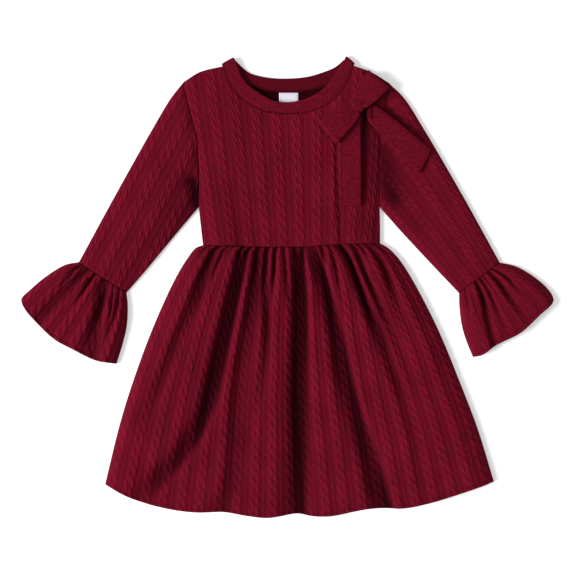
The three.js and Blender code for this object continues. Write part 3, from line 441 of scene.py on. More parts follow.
def make_piece(name, node, points, faces, uv, painted_shade, material, merge):
    """One smooth closed mesh that stands for a node, with its cloth UV map and the shade painted into its
    colour.

    faces is a list of arrays of corners. merge gives the point that each point becomes, so a seam that
    closes on itself keeps its two UV places. Faces are turned to look outwards by the signed volume."""
    corners = np.vstack([f[:, [0, k, k + 1]] for f in faces for k in range(1, f.shape[1] - 1)])
    a, b, c = (points[merge[corners[:, k]]] for k in range(3))
    if np.einsum("ij,ij->", a, np.cross(b, c)) < 0:
        faces = [f[:, ::-1] for f in faces]
    loops = np.concatenate([f.ravel() for f in faces])
    totals = np.concatenate([np.full(len(f), f.shape[1]) for f in faces])
    used, index = np.unique(merge, return_inverse=True)
    mesh = bpy.data.meshes.new(name)
    mesh.vertices.add(len(used))
    mesh.vertices.foreach_set("co", (points[used] * MM).astype(np.float32).ravel())
    mesh.loops.add(len(loops))
    mesh.loops.foreach_set("vertex_index", index[loops].astype(np.int32))
    mesh.polygons.add(len(totals))
    mesh.polygons.foreach_set("loop_start", (np.cumsum(totals) - totals).astype(np.int32))
    mesh.polygons.foreach_set("use_smooth", np.ones(len(totals), bool))
    layer = mesh.uv_layers.new(name="cloth")
    layer.data.foreach_set("uv", (uv[loops] * MM).astype(np.float32).ravel())
    # painted shade, stored on each point
    shade_attribute = mesh.attributes.new("painted_shade", "FLOAT", "POINT")
    shade_attribute.data.foreach_set("value", painted_shade[used].astype(np.float32))
    mesh.update(calc_edges=True)
    mesh.validate()
    mesh.materials.append(material)
    piece = bpy.data.objects.new(name, mesh)
    bpy.context.scene.collection.objects.link(piece)
    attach(piece, "root")
    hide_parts(node)
    return piece


def shell(node, outer, lining, uv, painted_shade, material, closed=False):
    """A closed cloth wall: a fine outer grid, a coarser lining grid and the rims between them.

    A closed grid is a tube: its last column is its first, and only its two ends have rims."""
    out = np.arange(outer[..., 0].size).reshape(outer.shape[:2])
    inn = out.size + np.arange(lining[..., 0].size).reshape(lining.shape[:2])
    rims = [rim_of(out[0], inn[0]), rim_of(out[-1, ::-1], inn[-1, ::-1])]
    merge = np.arange(out.size + inn.size)
    if closed:
        merge[out[:, -1]] = out[:, 0]
        merge[inn[:, -1]] = inn[:, 0]
    else:
        rims += [rim_of(out[:, -1], inn[:, -1]), rim_of(out[::-1, 0], inn[::-1, 0])]
    ratio_down = (outer.shape[0] - 1) // (lining.shape[0] - 1)
    ratio_across = (outer.shape[1] - 1) // (lining.shape[1] - 1)
    points = np.vstack([outer.reshape(-1, 3), lining.reshape(-1, 3)])
    uvs = np.vstack([uv.reshape(-1, 2), uv[::ratio_down, ::ratio_across].reshape(-1, 2)])
    # painted shade: the lining is painted in full shade, as the inside of the cloth lies in shadow
    shade_marks = np.concatenate([painted_shade.ravel(), np.full(inn.size, 1.0)])
    faces = [np.vstack([quads_of(out), quads_of(inn)[:, ::-1]]), np.vstack(rims)]
    return make_piece(node + FINISHED, node, points, faces, uvs, shade_marks, material, merge)


def painted_shade_of(relief, full):
    """How much shade is painted into the colour at a point, between stitches and in folds, from 0 on a crest
    to 1 in a valley.
    """
    knit = np.clip((1.1 - relief) / 0.9, 0, 1)
    return np.clip(0.27 * knit + 0.88 * (1 - full), 0, 1)


def skirt_plan():
    waist = smooth_line(WAIST)
    left, right = SKIRT_LEFT[0][0], SKIRT_RIGHT[0][0]

    def top(across):
        x = left + (right - left) * across
        return np.stack([x, waist(x)], axis=-1)

    plan = patch(curve(SKIRT_LEFT), curve(SKIRT_RIGHT), top, curve(SKIRT_HEM))
    return lambda across, down: plan(across, down) - [0, SEAM_GAP / 2]


def neckline(across, neck_seam):
    """Top edge of a bodice panel: a shoulder, the neckline and the other shoulder."""
    x = SHOULDER_LEFT[0][0] + (SHOULDER_RIGHT[2][0] - SHOULDER_LEFT[0][0]) * across
    start, end = neck_seam[0][0], neck_seam[-1][0]
    on_neck = (x >= start) & (x <= end)
    y = np.where(x < start, smooth_line(SHOULDER_LEFT)(x), smooth_line(SHOULDER_RIGHT)(x))
    y = np.where(on_neck, smooth_line(neck_seam)(x), y)
    return np.stack([x, y], axis=-1)


def bodice_plan(neck_seam):
    waist = smooth_line(WAIST)

    def foot(across):
        x = WAIST[0][0] + (WAIST[4][0] - WAIST[0][0]) * across
        return np.stack([x, waist(x)], axis=-1)

    def top(across):
        return neckline(np.asarray(across, float), neck_seam)

    plan = patch(curve(ARMHOLE_LEFT + SIDE_LEFT), curve(ARMHOLE_RIGHT + SIDE_RIGHT), top, foot)

    def place(across, down):
        inset = np.stack([SEAM_GAP * (0.5 - across), SEAM_GAP * (down - 0.5)], axis=-1)
        return plan(across, down) + inset

    return place


def cloth_size(flat, z):
    """Distances along the cloth's own surface, across and down, from its first column and row."""
    points = np.dstack([flat, z])
    wide = np.linalg.norm(np.diff(points, axis=1), axis=-1)
    long = np.linalg.norm(np.diff(points, axis=0), axis=-1)
    across = np.concatenate([np.zeros((len(z), 1)), np.cumsum(wide, axis=1)], axis=1)
    down = np.concatenate([np.zeros((1, z.shape[1])), np.cumsum(long, axis=0)], axis=0)
    return across, down


def panel_shell(name, flat, z, relief, edge, full, material):
    """A front panel: folds as heights over the plan, with the knit raised along the folded surface."""
    outer = raised(np.dstack([flat, z]), relief * smoothstep(edge, 0, 2))
    under = np.clip(lowest_near(z, 5) - CLOTH, FRONT_UNDER, None)
    lining = np.dstack([flat, under])[::LINING_RATIO, ::LINING_RATIO]
    across, down = cloth_size(flat, z)
    uv = np.dstack([across - across[:, -1:] / 2, -down])
    return shell(name, outer, lining, uv, painted_shade_of(relief, full), material)


def front_skirt(material):
    across, down = grid(*SKIRT_GRID)
    flat = skirt_plan()(across, down)
    gathers = gather_fullness(SKIRT_GATHERS, across, down, 0.012)
    folds = fullness(SKIRT_VALLEYS, across, down)
    width = np.linalg.norm(flat[:, -1] - flat[:, 0], axis=-1)[:, None]
    length = np.linalg.norm(flat[-1] - flat[0], axis=-1)[None, :]
    side = np.minimum(across, 1 - across) * width
    end = np.minimum(down, 1 - down) * length
    shoulder = 1 - (1 - np.clip(side / 26, 0, 1)) ** 2
    near_waist = 0.62 + 0.38 * smoothstep(down, 0, 0.1)
    soft = 0.5 * uneven(flat[..., 0], flat[..., 1], 90)
    full = folds * gathers * (1 - 0.14 * hump((1 - down) * length - HEM, 1.5))
    z = FRONT_TOP + SKIRT_CREST * full * shoulder * near_waist + soft * shoulder * full
    z += round_off(side, 2.0) + round_off(end, 1.4)
    place, along = cloth_size(flat, z)
    relief = cable_relief(SKIRT_CABLES * place / place[:, -1:], along, 1.65 - 0.45 * down)
    relief *= 0.8 + 0.25 * smoothstep(down, 0, 0.16)
    return panel_shell("front_skirt", flat, z, relief, end, full, material)


def back_panel(name, flat, relief, material):
    """A back panel, whose right side lies on the surface: its knit crests touch it and its top is plain."""
    rows, columns = flat.shape[:2]
    ends = np.minimum(np.arange(rows), np.arange(rows)[::-1])[:, None] * np.ones(columns)
    sides = np.minimum(np.arange(columns), np.arange(columns)[::-1])[None, :] * np.ones((rows, 1))
    edge = np.clip(np.minimum(ends, sides) / 2, 0, 1)
    under = 0.75 * (1 - edge) + (relief.max() - relief) * edge
    top = np.full(relief.shape, BACK_TOP)[::LINING_RATIO, ::LINING_RATIO]
    lining = np.dstack([flat[::LINING_RATIO, ::LINING_RATIO], top])
    across, down = cloth_size(flat, under)
    uv = np.dstack([across - across[:, -1:] / 2, -down])
    # painted shade between the knit's stitches
    shade_marks = painted_shade_of(relief, np.ones_like(relief))
    return shell(name, np.dstack([flat, under]), lining, uv, shade_marks, material)


def back_skirt(material):
    across, down = grid(*BACK_SKIRT_GRID)
    flat = skirt_plan()(across, down)
    _, along = cloth_size(flat, np.zeros_like(across))
    fade = 1 - smoothstep(down, 0.02, 0.2)
    gathers = 0.5 - 0.5 * np.cos(2 * np.pi * BACK_GATHERS * across)
    knit = UNDER_RELIEF * cable_relief(-SKIRT_CABLES * across, along)
    return back_panel("back_skirt", flat, knit * (1 - fade) - 0.9 * fade * gathers, material)


def bodice_ropes(flat):
    """Count of ropes from the left: they draw together towards the waist, from 25 to 21 mm apart."""
    down = (207 - flat[..., 1]) / 156
    first = -51 + 15 * down
    pitch = 25 - 4 * down
    return (flat[..., 0] - first) / pitch


def front_bodice(material):
    across, down = grid(*BODICE_GRID)
    flat = bodice_plan(NECK_FRONT_SEAM)(across, down)
    width = np.linalg.norm(flat[:, -1] - flat[:, 0], axis=-1)[:, None]
    length = np.linalg.norm(flat[-1] - flat[0], axis=-1)[None, :]
    side = np.minimum(across, 1 - across) * width
    end = np.minimum(down, 1 - down) * length
    full = fullness(BODICE_VALLEYS, across, down)
    at_armhole = ARMHOLE_RISE / BODICE_CREST * smoothstep(flat[..., 1], 88, 116)
    dome = 1 - (1 - at_armhole) * (1 - np.clip(side / 24, 0, 1)) ** 2
    soft = 0.35 * uneven(flat[..., 0], flat[..., 1], 75)
    z = FRONT_TOP + BODICE_CREST * full * dome + soft * dome + round_off(side, 0.8) + round_off(end, 1.2)
    relief = cable_relief(bodice_ropes(flat), -flat[..., 1])
    return panel_shell("front_bodice", flat, z, relief, np.minimum(side, end), full, material)


def back_bodice(material):
    across, down = grid(*BACK_BODICE_GRID)
    flat = bodice_plan(NECK_BACK_SEAM)(across, down)
    relief = UNDER_RELIEF * cable_relief(-bodice_ropes(flat), -flat[..., 1])
    return back_panel("back_bodice", flat, relief, material)


def tube_round(top_columns, under_columns):
    """Shares round a flattened tube, closer together at the two folded edges."""
    def eased(count):
        t = np.linspace(0, 1, count + 1)
        return t - 0.6 * np.sin(2 * np.pi * t) / (2 * np.pi)

    above = eased(top_columns)
    below = eased(under_columns)[::-1]
    return np.concatenate([above, below[1:]]), np.concatenate([np.ones(len(above)), np.zeros(len(below) - 1)])


def tube_shell(name, plan, top_form, ropes, knit_form, sizes, material):
    """A flattened tube: the upper layer has its folds, the lower lies flat, and both edges are rolled.

    The height at an edge is the middle between the layers; within the edge's radius each layer follows
    a quarter of an ellipse to its own height. knit_form is how much wider the knit's lobes are, and its
    height as a share of the usual."""
    rows, top_columns, under_columns = sizes
    shares, above = tube_round(top_columns, under_columns)
    down = np.linspace(0, 1, rows + 1)[:, None] * np.ones(len(shares))
    across = shares[None, :] * np.ones((rows + 1, 1))
    flat = plan(across, down)
    from_side, to_side = plan(np.zeros(rows + 1), down[:, 0]), plan(np.ones(rows + 1), down[:, 0])
    width = np.linalg.norm(to_side - from_side, axis=-1)
    side = np.minimum(across, 1 - across) * width[:, None]
    turn = np.sqrt(1 - (1 - np.clip(side / FOLD_RADIUS, 0, 1)) ** 2)
    z_top, full = top_form(across, down, flat, side)
    place, along = ropes(across, down, flat)
    end = np.minimum(down, 1 - down) * np.linalg.norm(flat[-1] - flat[0], axis=-1)
    widen, strength = knit_form
    relief_top = strength * cable_relief(place, along, widen) * smoothstep(np.minimum(side, end), 0, 2)
    middle = FRONT_UNDER
    z = np.where(above > 0, middle + (z_top - middle) * turn, middle * (1 - turn))
    relief = np.where(above > 0, relief_top, 0)
    knit = UNDER_RELIEF * cable_relief(-place, along)
    z = np.where(above > 0, z, z + (knit.max() - knit) * smoothstep(side, 2, 8))
    base = np.dstack([flat, z])
    outer = raised(base, relief, closed=True)
    inner_across = HOLLOW_SHARE + (1 - 2 * HOLLOW_SHARE) * across
    inner_flat = plan(inner_across, down)
    low = np.clip(lowest_near(z_top, 5) - CLOTH, FRONT_UNDER, None)
    ceiling = middle + (low - middle) * smoothstep(side, 0, 8)
    inner_z = np.where(above > 0, ceiling, BACK_TOP)
    lining = np.dstack([inner_flat, inner_z])[::LINING_RATIO, ::LINING_RATIO]
    wide, long = cloth_size(flat, z)
    uv = np.dstack([wide, -long])
    # painted shade: the upper layer by its knit and folds, the lower layer a little all over
    shade_marks = np.where(above > 0, painted_shade_of(relief_top, full), 0.35)
    return shell(name, outer, lining, uv, shade_marks, material, closed=True)


def sleeve_edges(side):
    edges = SLEEVES[side]
    armhole, upper, lower = curve(edges["armhole"]), curve(edges["upper"]), curve(edges["lower"])
    seam = curve([edges["upper"][-1], edges["lower"][-1]])
    axis = seam(0.5) - armhole(0.5)
    return edges, armhole, upper, lower, seam, axis / np.linalg.norm(axis)


def moved(plan, axis, distance):
    """The plan with its upper end moved along the sleeve, to leave the gap of a seam."""
    return lambda across, down: plan(across, down) + axis * distance * (1 - down[..., None])


def sleeve(side, material):
    edges, armhole, upper, lower, seam, axis = sleeve_edges(side)
    plan = moved(patch(upper, lower, armhole, seam), axis, SEAM_GAP)

    def top_form(across, down, flat, edge):
        from_armhole = np.clip(down * SLEEVE_LENGTH / ARMHOLE_REACH, 0, 1)
        crest = SLEEVE_CREST[side]
        dome = 1 - (1 - np.clip(edge / SLEEVE_DOME[side], 0, 1)) ** 2
        dome *= 1 - (1 - ARMHOLE_RISE / crest) * (1 - from_armhole) ** 2
        soft = 0.5 * uneven(flat[..., 0], flat[..., 1], 80)
        dent = np.clip(crease_depth(flat, SLEEVE_CREASES[side]), 0, 1)
        end = np.minimum(down, 1 - down) * SLEEVE_LENGTH
        z = FRONT_TOP + (crest + soft) * (1 - dent) * dome + round_off(end, 0.7)
        # the creases come back as lost fullness, which paints them in shade as well as denting them
        return z, 1 - dent

    def ropes(across, down, flat):
        """Ropes run along the grain, which on the left sleeve is that of its upper edge."""
        if side == "right":
            return -(across - 0.525) / 0.285, SLEEVE_LENGTH * down
        first, last = np.array(edges["upper"][2], float), np.array(edges["upper"][-1], float)
        grain = (last - first) / np.linalg.norm(last - first)
        away = (flat - last) @ np.array([-grain[1], grain[0]])
        return (away - 19.5) / 23.5, (flat - first) @ grain

    return tube_shell(f"sleeve_{side}", plan, top_form, ropes, SLEEVE_KNIT[side], SLEEVE_GRID, material)


def cuff(side, material):
    edges, _, _, _, seam, axis = sleeve_edges(side)
    hem = curve(edges["cuff_hem"])
    plan = moved(patch(curve(edges["cuff_upper"]), curve(edges["cuff_lower"]), seam, hem), axis, SEAM_GAP)

    def top_form(across, down, flat, edge):
        stitches = hump((1 - down) * CUFF_LENGTH - HEM, 1.2)
        full = fullness(CUFF_VALLEYS[side], across, down) * (1 - 0.12 * stitches)
        dome = 1 - (1 - np.clip(edge / CUFF_DOME, 0, 1)) ** 2
        end = np.minimum(down, 1 - down) * CUFF_LENGTH
        rise = CUFF_CREST * full * dome * (0.45 + 0.55 * smoothstep(down, 0, 0.35))
        return FRONT_TOP + rise + round_off(end, 1.2), full

    def ropes(across, down, flat):
        turned = across if side == "left" else -across
        return CUFF_CABLES * turned + 0.3, CUFF_LENGTH * down

    return tube_shell(f"cuff_ruffle_{side}", plan, top_form, ropes, CUFF_KNIT[side], CUFF_GRID, material)


def neckband(material):
    """A closed ring of rounded flat sections that runs round the neck and turns over at its two points."""
    front_steps, fold_steps, ring_steps = 168, 20, 40
    first = (NECK_FRONT_SEAM[0][0] - SHOULDER_LEFT[0][0]) / (SHOULDER_RIGHT[2][0] - SHOULDER_LEFT[0][0])
    last = (NECK_FRONT_SEAM[-1][0] - SHOULDER_LEFT[0][0]) / (SHOULDER_RIGHT[2][0] - SHOULDER_LEFT[0][0])
    share = np.linspace(0, 1, front_steps + 1)

    def edges(seam_points, free_points):
        seam = neckline(first + (last - first) * share, seam_points)
        length = np.concatenate([[0], np.cumsum(np.linalg.norm(np.diff(seam, axis=0), axis=1))])
        return seam, curve(free_points)(length / length[-1])

    front_seam, front_free = edges(NECK_FRONT_SEAM, NECK_FRONT_FREE)
    back_seam, back_free = edges(NECK_BACK_SEAM, NECK_BACK_FREE)
    rise = np.sin(np.pi * share) ** 0.5
    heights = BAND_FOLD_MIDDLE + (BAND_FRONT_MIDDLE - BAND_FOLD_MIDDLE) * rise
    radius = (BAND_FOLD_MIDDLE - BAND_BACK_MIDDLE) / 2

    def fold(tip_seam, tip_free, before, turn):
        ahead = (tip_seam - before) / np.linalg.norm(tip_seam - before)
        angle = turn * np.linspace(np.pi / 2, -np.pi / 2, fold_steps + 1)[1:-1, None]
        shift = ahead * radius * np.cos(angle)
        normal = np.hstack([ahead * np.cos(angle), np.sin(angle)])
        height = BAND_BACK_MIDDLE + radius * (1 + np.sin(angle[:, 0]))
        return tip_seam + shift, tip_free + shift, height, normal

    up = np.tile([0.0, 0.0, 1.0], (front_steps + 1, 1))
    right = fold(front_seam[-1], front_free[-1], front_seam[-2], 1)
    left = fold(front_seam[0], front_free[0], front_seam[1], -1)
    runs = [
        (front_seam, front_free, heights, up),
        right,
        (back_seam[::-1], back_free[::-1], np.full(front_steps + 1, BAND_BACK_MIDDLE), -up),
        left,
    ]
    seam, free, middle, normal = (np.concatenate([run[k] for run in runs]) for k in range(4))
    seam, free, middle, normal = (np.concatenate([a, a[:1]]) for a in (seam, free, middle, normal))
    across = np.linalg.norm(seam - free, axis=1)[:, None]
    angle = np.linspace(0, 2 * np.pi, ring_steps + 1)[None, :]
    # superellipse section: share across from the free edge, and height over the half wall
    flatness = 0.42
    out = 0.5 - 0.5 * np.sign(np.cos(angle)) * np.abs(np.cos(angle)) ** flatness
    lift = np.sign(np.sin(angle)) * np.abs(np.sin(angle)) ** flatness * BAND_CLOTH / 2
    inset = 0.2 / across
    place = inset + (1 - inset) * out
    run = np.concatenate([[0], np.cumsum(np.linalg.norm(np.diff(seam, axis=0), axis=1))])[:, None]
    lift = lift - 0.25 * hump((place - 0.88) * across, 0.9) * (lift > 0)
    flat = free[:, None] + (seam - free)[:, None] * place[..., None]
    points = np.dstack([flat, middle[:, None] + 0 * place]) + normal[:, None] * lift[..., None]
    index = np.arange(place.size).reshape(place.shape)
    merge = np.arange(place.size)
    merge[index[-1]] = index[0]
    merge[index[:, -1]] = merge[index[:, 0]]
    uv = np.dstack([run + 0 * place, place * across])
    lower = np.clip((BAND_FOLD_MIDDLE - middle) / (BAND_FOLD_MIDDLE - BAND_BACK_MIDDLE), 0, 1)[:, None]
    # painted shade: a dark line along the seam edge, and the back of the band, which lies lower and gets less
    # light
    painted_shade = 0.3 * hump((place - 0.93) * across, 1.2) + 0.1 + 0.34 * lower
    return make_piece("neckband" + FINISHED, "neckband", points.reshape(-1, 3), [quads_of(index)],
                      uv.reshape(-1, 2), painted_shade.ravel(), material, merge)


def bow_loop(name, inner, outer, material):
    """One strip that goes out on the lower layer, turns at the far end and comes back above it.

    Height is half the hollow, drawn in near the knot, and turns over as a half circle at the far end.
    Creases run out from the knot and fade towards the end."""
    inner, outer = np.array(inner, float), np.array(outer, float)
    middle = LOOP_UNDER + BOW_CLOTH + LOOP_HOLLOW / 2
    start_middle, end_middle = inner.mean(axis=0), outer.mean(axis=0)
    direction = (end_middle - start_middle) / np.linalg.norm(end_middle - start_middle)
    across, turn = grid(*LOOP_GRID)
    turn = turn + 0.5 * np.sin(4 * np.pi * turn) / (4 * np.pi)
    out = 1 - np.abs(2 * turn - 1)

    def place(offset):
        radius = LOOP_HOLLOW / 2 + offset
        pinch = 0.5 + 0.5 * smoothstep(out, 0, 0.5)
        above = np.where(turn < 0.5, -1, 1)
        turning = smoothstep(out, 0.86, 1)
        z = middle + above * (LOOP_HOLLOW / 2 * pinch + offset) * np.sqrt(1 - turning ** 2)
        start = inner[0] + (inner[1] - inner[0]) * across[..., None]
        end = outer[0] + (outer[1] - outer[0]) * across[..., None]
        reach = np.minimum(out, 0.93)
        middle_line = (start_middle + (end_middle - start_middle) * reach[..., None])
        from_start, from_end = start - start_middle, end - end_middle
        spread = from_start + (from_end - from_start) * (reach ** 0.36)[..., None]
        flat = middle_line + spread + direction * (turning * radius - BOW_CLOTH * 0.5)[..., None]
        crown = 0.5 * np.sin(np.pi * across) * (above > 0) * (1 - out)
        return np.dstack([flat, z + crown]), above

    skin, above = place(BOW_CLOTH)
    hollow, _ = place(0)
    creases = sum(
        depth * hump(across - (foot + (at - foot) * out), width) * (1 - smoothstep(out, 0.1, reach))
        for at, foot, width, depth, reach in BOW_CREASES
    )
    edge = np.minimum(across, 1 - across) * np.linalg.norm(outer[1] - outer[0])
    rounded = round_off(edge, 0.8) * (0.9 - 0.4 * (above < 0))
    relief = -creases * (above > 0) + rounded
    skin = raised(skin, relief)
    lining = hollow[::LINING_RATIO, ::LINING_RATIO]
    wide, long = cloth_size(skin[..., :2], skin[..., 2])
    uv = np.dstack([wide, long])
    # painted shade in the creases, and a little all over
    painted_shade = np.clip(0.12 + 0.5 * creases, 0, 1)
    return shell(name, skin, lining, uv, painted_shade, material)


def bow_tail(name, sides, material, creases=()):
    """A folded strip laid flat: rounded long edges, a fold line beside one edge and rounded lower corners."""
    across, down = grid(*TAIL_GRID)
    left, right = curve(sides[0]), curve(sides[1])
    corner = 0.5 * (1 - np.sqrt(1 - np.clip((down - 0.96) / 0.04, 0, 1) ** 2)) * 0.14
    share = corner + (1 - 2 * corner) * across
    flat = left(down) * (1 - share[..., None]) + right(down) * share[..., None]
    width = np.linalg.norm(right(0.5) - left(0.5))
    length = np.linalg.norm(left(1.0) - left(0.0))
    edge = np.minimum(across, 1 - across) * width
    end = np.minimum(down, 1 - down) * length
    doubled = -0.45 * hump(edge - 3.1, 0.5) * (across < 0.5)
    wave = 0.35 * np.sin(2 * np.pi * down * 1.3 + 1) * np.sin(np.pi * across)
    fold = crease_depth(flat, creases)
    z = TAIL_UNDER + BOW_CLOTH - 0.1 + round_off(edge, 1.2) + round_off(end, 0.9) + doubled + wave - fold
    lining = np.dstack([flat, np.full(z.shape, TAIL_UNDER)])[::LINING_RATIO, ::LINING_RATIO]
    wide, long = cloth_size(flat, z)
    # painted shade along the doubled fold line and in the fold crease, and a little all over
    painted_shade = np.clip(0.12 + 0.35 * hump(edge - 3.1, 0.7) * (across < 0.5) + 0.9 * fold, 0, 1)
    return shell(name, np.dstack([flat, z]), lining, np.dstack([wide, long]), painted_shade, material)


def bow_knot(material):
    """A wrapped strip: a rounded box by powers of sine and cosine, with two folds round its girth."""
    rows, columns = 96, 128
    turn, rise = np.meshgrid(np.linspace(0, 2 * np.pi, columns + 1), np.linspace(0, np.pi, rows + 1))

    def power(value, exponent):
        return np.sign(value) * np.abs(value) ** exponent

    # the poles are on the wrap's axis, which runs along the knot's width
    around = power(np.sin(rise), 0.8)
    along = 0.5 * KNOT["width"] * power(np.cos(rise), 0.75)
    x = 0.5 * KNOT["length"] * around * power(np.cos(turn), 0.8)
    z = 0.5 * KNOT["height"] * around * power(np.sin(turn), 0.8)
    folds = sum(0.3 * hump(along - at - 0.25 * x, 1.1) for at in (-4.6, 0.8, 5.4))
    shrink = 1 - folds / (0.5 * KNOT["length"])
    x, z = x * shrink, z * shrink
    c, s = np.cos(KNOT["turn"]), np.sin(KNOT["turn"])
    points = np.dstack([
        KNOT["x"] + c * x - s * along,
        KNOT["y"] + s * x + c * along,
        TAIL_UNDER + 0.5 * KNOT["height"] + z,
    ])
    index = np.arange(turn.size).reshape(turn.shape)
    merge = np.arange(turn.size)
    merge[index[:, -1]] = index[:, 0]
    merge[index[0]] = index[0, 0]
    merge[index[-1]] = index[-1, 0]
    caps = [np.stack([index[0, 1:], index[1, :-1], index[1, 1:]], axis=-1),
            np.stack([index[-1, 1:], index[-2, 1:], index[-2, :-1]], axis=-1)]
    uv = np.dstack([turn * 5, along])
    # painted shade in the folds of the wrap, and a little all over
    painted_shade = np.clip(0.1 + 0.5 * folds, 0, 1)
    faces = [quads_of(index[1:-1]), np.vstack([caps[0][:, ::-1], caps[1][:, ::-1]])]
    return make_piece("bow_knot" + FINISHED, "bow_knot", points.reshape(-1, 3), faces,
                      uv.reshape(-1, 2), painted_shade.ravel(), material, merge)


def neck_label(material):
    """A small satin label with turned edges, bent a little, and blank."""
    across, down = grid(*LABEL_GRID)
    x = LABEL["left"] + (LABEL["right"] - LABEL["left"]) * across
    y = LABEL["top"] + (LABEL["bottom"] - LABEL["top"]) * down
    edge = np.minimum(np.minimum(across, 1 - across) * 24, np.minimum(down, 1 - down) * 22.5)
    hem = -0.12 * hump(edge - 1.6, 0.25)
    z = LABEL_UNDER + LABEL_CLOTH - 0.15 + 0.15 * np.sin(np.pi * across) + round_off(edge, 0.4) + hem
    flat = np.dstack([x, y])
    lining = np.dstack([flat, np.full(z.shape, LABEL_UNDER)])[::LINING_RATIO, ::LINING_RATIO]
    # the last value is painted shade along the stitched hem line, where the label dips
    return shell("neck_label", np.dstack([flat, z]), lining, flat, 0.8 * hump(edge - 1.6, 0.3), material)


def linear(hex_colour):
    """An sRGB hex colour as linear red, green, blue and 1."""
    channels = np.array([int(hex_colour[k:k + 2], 16) for k in (1, 3, 5)]) / 255
    low = channels / 12.92
    high = ((channels + 0.055) / 1.055) ** 2.4
    return (*np.where(channels <= 0.04045, low, high), 1)


def add_node(tree, kind, settings=None, inputs=None):
    """Adds a node, sets its properties, and gives each input a value or a link from another output."""
    node = tree.nodes.new(kind)
    for key, value in (settings or {}).items():
        setattr(node, key, value)
    for key, value in (inputs or {}).items():
        if isinstance(value, bpy.types.NodeSocket):
            tree.links.new(value, node.inputs[key])
        else:
            node.inputs[key].default_value = value
    return node


def new_material(name, settings):
    material = bpy.data.materials.new(name)
    material.use_nodes = True
    tree = material.node_tree
    surface = tree.nodes["Principled BSDF"]
    for key, value in settings.items():
        surface.inputs[key].default_value = value
    return material, tree, surface


def maths(tree, operation, *values):
    return add_node(tree, "ShaderNodeMath", {"operation": operation}, dict(enumerate(values))).outputs[0]


def blend(tree, factor, first, second):
    mix = add_node(tree, "ShaderNodeMix", {"data_type": "RGBA"}, {"Factor": factor, 6: first, 7: second})
    return mix.outputs[2]


def noise(tree, vector, scale, detail):
    settings = {"Vector": vector, "Scale": scale, "Detail": detail}
    return add_node(tree, "ShaderNodeTexNoise", inputs=settings).outputs[0]


def knit_material(name, light, dark, shade, stitch, row, depth, melange, settings):
    """Fine stocking stitch in stretchy cotton-blend jersey.

    Each stitch is a V: a wave along the wale whose phase moves with the distance from the wale's middle.
    Colour runs from light to dark with a fine melange and a slow unevenness; painted shade darkens it a
    little in each wale's ditch and takes it towards the shade colour in grooves, valleys, creases and on the
    linings."""
    material, tree, surface = new_material(name, settings)
    uv = add_node(tree, "ShaderNodeUVMap", {"uv_map": "cloth"}).outputs[0]
    split = add_node(tree, "ShaderNodeSeparateXYZ", inputs={0: uv})
    wale = maths(tree, "DIVIDE", split.outputs[0], stitch)
    from_middle = maths(tree, "ABSOLUTE", maths(tree, "SUBTRACT", maths(tree, "FRACT", wale), 0.5))
    slant = maths(tree, "MULTIPLY", from_middle, 1.3)
    course = maths(tree, "ADD", maths(tree, "DIVIDE", split.outputs[1], row), slant)
    loop = maths(tree, "SINE", maths(tree, "MULTIPLY", course, 2 * np.pi))
    ditch = maths(tree, "COSINE", maths(tree, "MULTIPLY", from_middle, 2 * np.pi))
    height = maths(tree, "ADD", maths(tree, "MULTIPLY", loop, 0.35), maths(tree, "MULTIPLY", ditch, -0.5))
    fuzz = noise(tree, uv, 1400.0, 2.0)
    slow = noise(tree, uv, 24.0, 3.0)
    height = maths(tree, "ADD", height, maths(tree, "MULTIPLY", fuzz, 0.5))
    bump = add_node(tree, "ShaderNodeBump", inputs={"Strength": 0.5, "Distance": depth, "Height": height})
    tree.links.new(bump.outputs[0], surface.inputs["Normal"])
    streak = add_node(tree, "ShaderNodeMapping", inputs={0: uv, "Scale": (520.0, 240.0, 1.0)}).outputs[0]
    yarn = noise(tree, streak, 1.0, 2.0)
    even = maths(tree, "MULTIPLY", slow, 1 - melange)
    tint = maths(tree, "ADD", maths(tree, "MULTIPLY", yarn, melange), even)
    # painted shade: a little darker in the ditch of each wale
    tint = maths(tree, "SUBTRACT", tint, maths(tree, "MULTIPLY", ditch, 0.04))
    spread = {0: tint, 1: 0.3, 2: 0.7, 3: 0.0, 4: 1.0}
    tint = add_node(tree, "ShaderNodeMapRange", inputs=spread).outputs[0]
    # painted shade stored on each point by the pieces, which takes the colour towards the shade colour
    painted_shade = add_node(tree, "ShaderNodeAttribute", {"attribute_name": "painted_shade"}).outputs["Fac"]
    cloth = blend(tree, tint, linear(dark), linear(light))
    cloth = blend(tree, maths(tree, "MULTIPLY", painted_shade, 0.95), cloth, linear(shade))
    tree.links.new(cloth, surface.inputs["Base Color"])
    return material


# Cable knit of the panels: cotton-blend jersey, matt, with a soft bloom where it turns away
# its third colour is the painted shade, for grooves, valleys, creases and linings
CABLE_KNIT = knit_material(
    "cable_knit_jersey", "#791128", "#600B1D", "#1E0106", 0.0027, 0.0022, 0.0005, 0.6,
    {"Roughness": 0.9, "Sheen Weight": 0.03, "Sheen Roughness": 0.5,
     "Sheen Tint": linear("#C8405A"), "Specular IOR Level": 0.03},
)
# Plain knit of the neckband and the bow: the same yarn in a finer stitch, with more melange
# its third colour is the painted shade, for creases, folds and the back of the band
PLAIN_KNIT = knit_material(
    "plain_knit_jersey", "#7A1128", "#4C0716", "#1E0106", 0.0014, 0.0012, 0.0003, 0.85,
    {"Roughness": 0.88, "Sheen Weight": 0.05, "Sheen Roughness": 0.5,
     "Sheen Tint": linear("#C8405A"), "Specular IOR Level": 0.03},
)


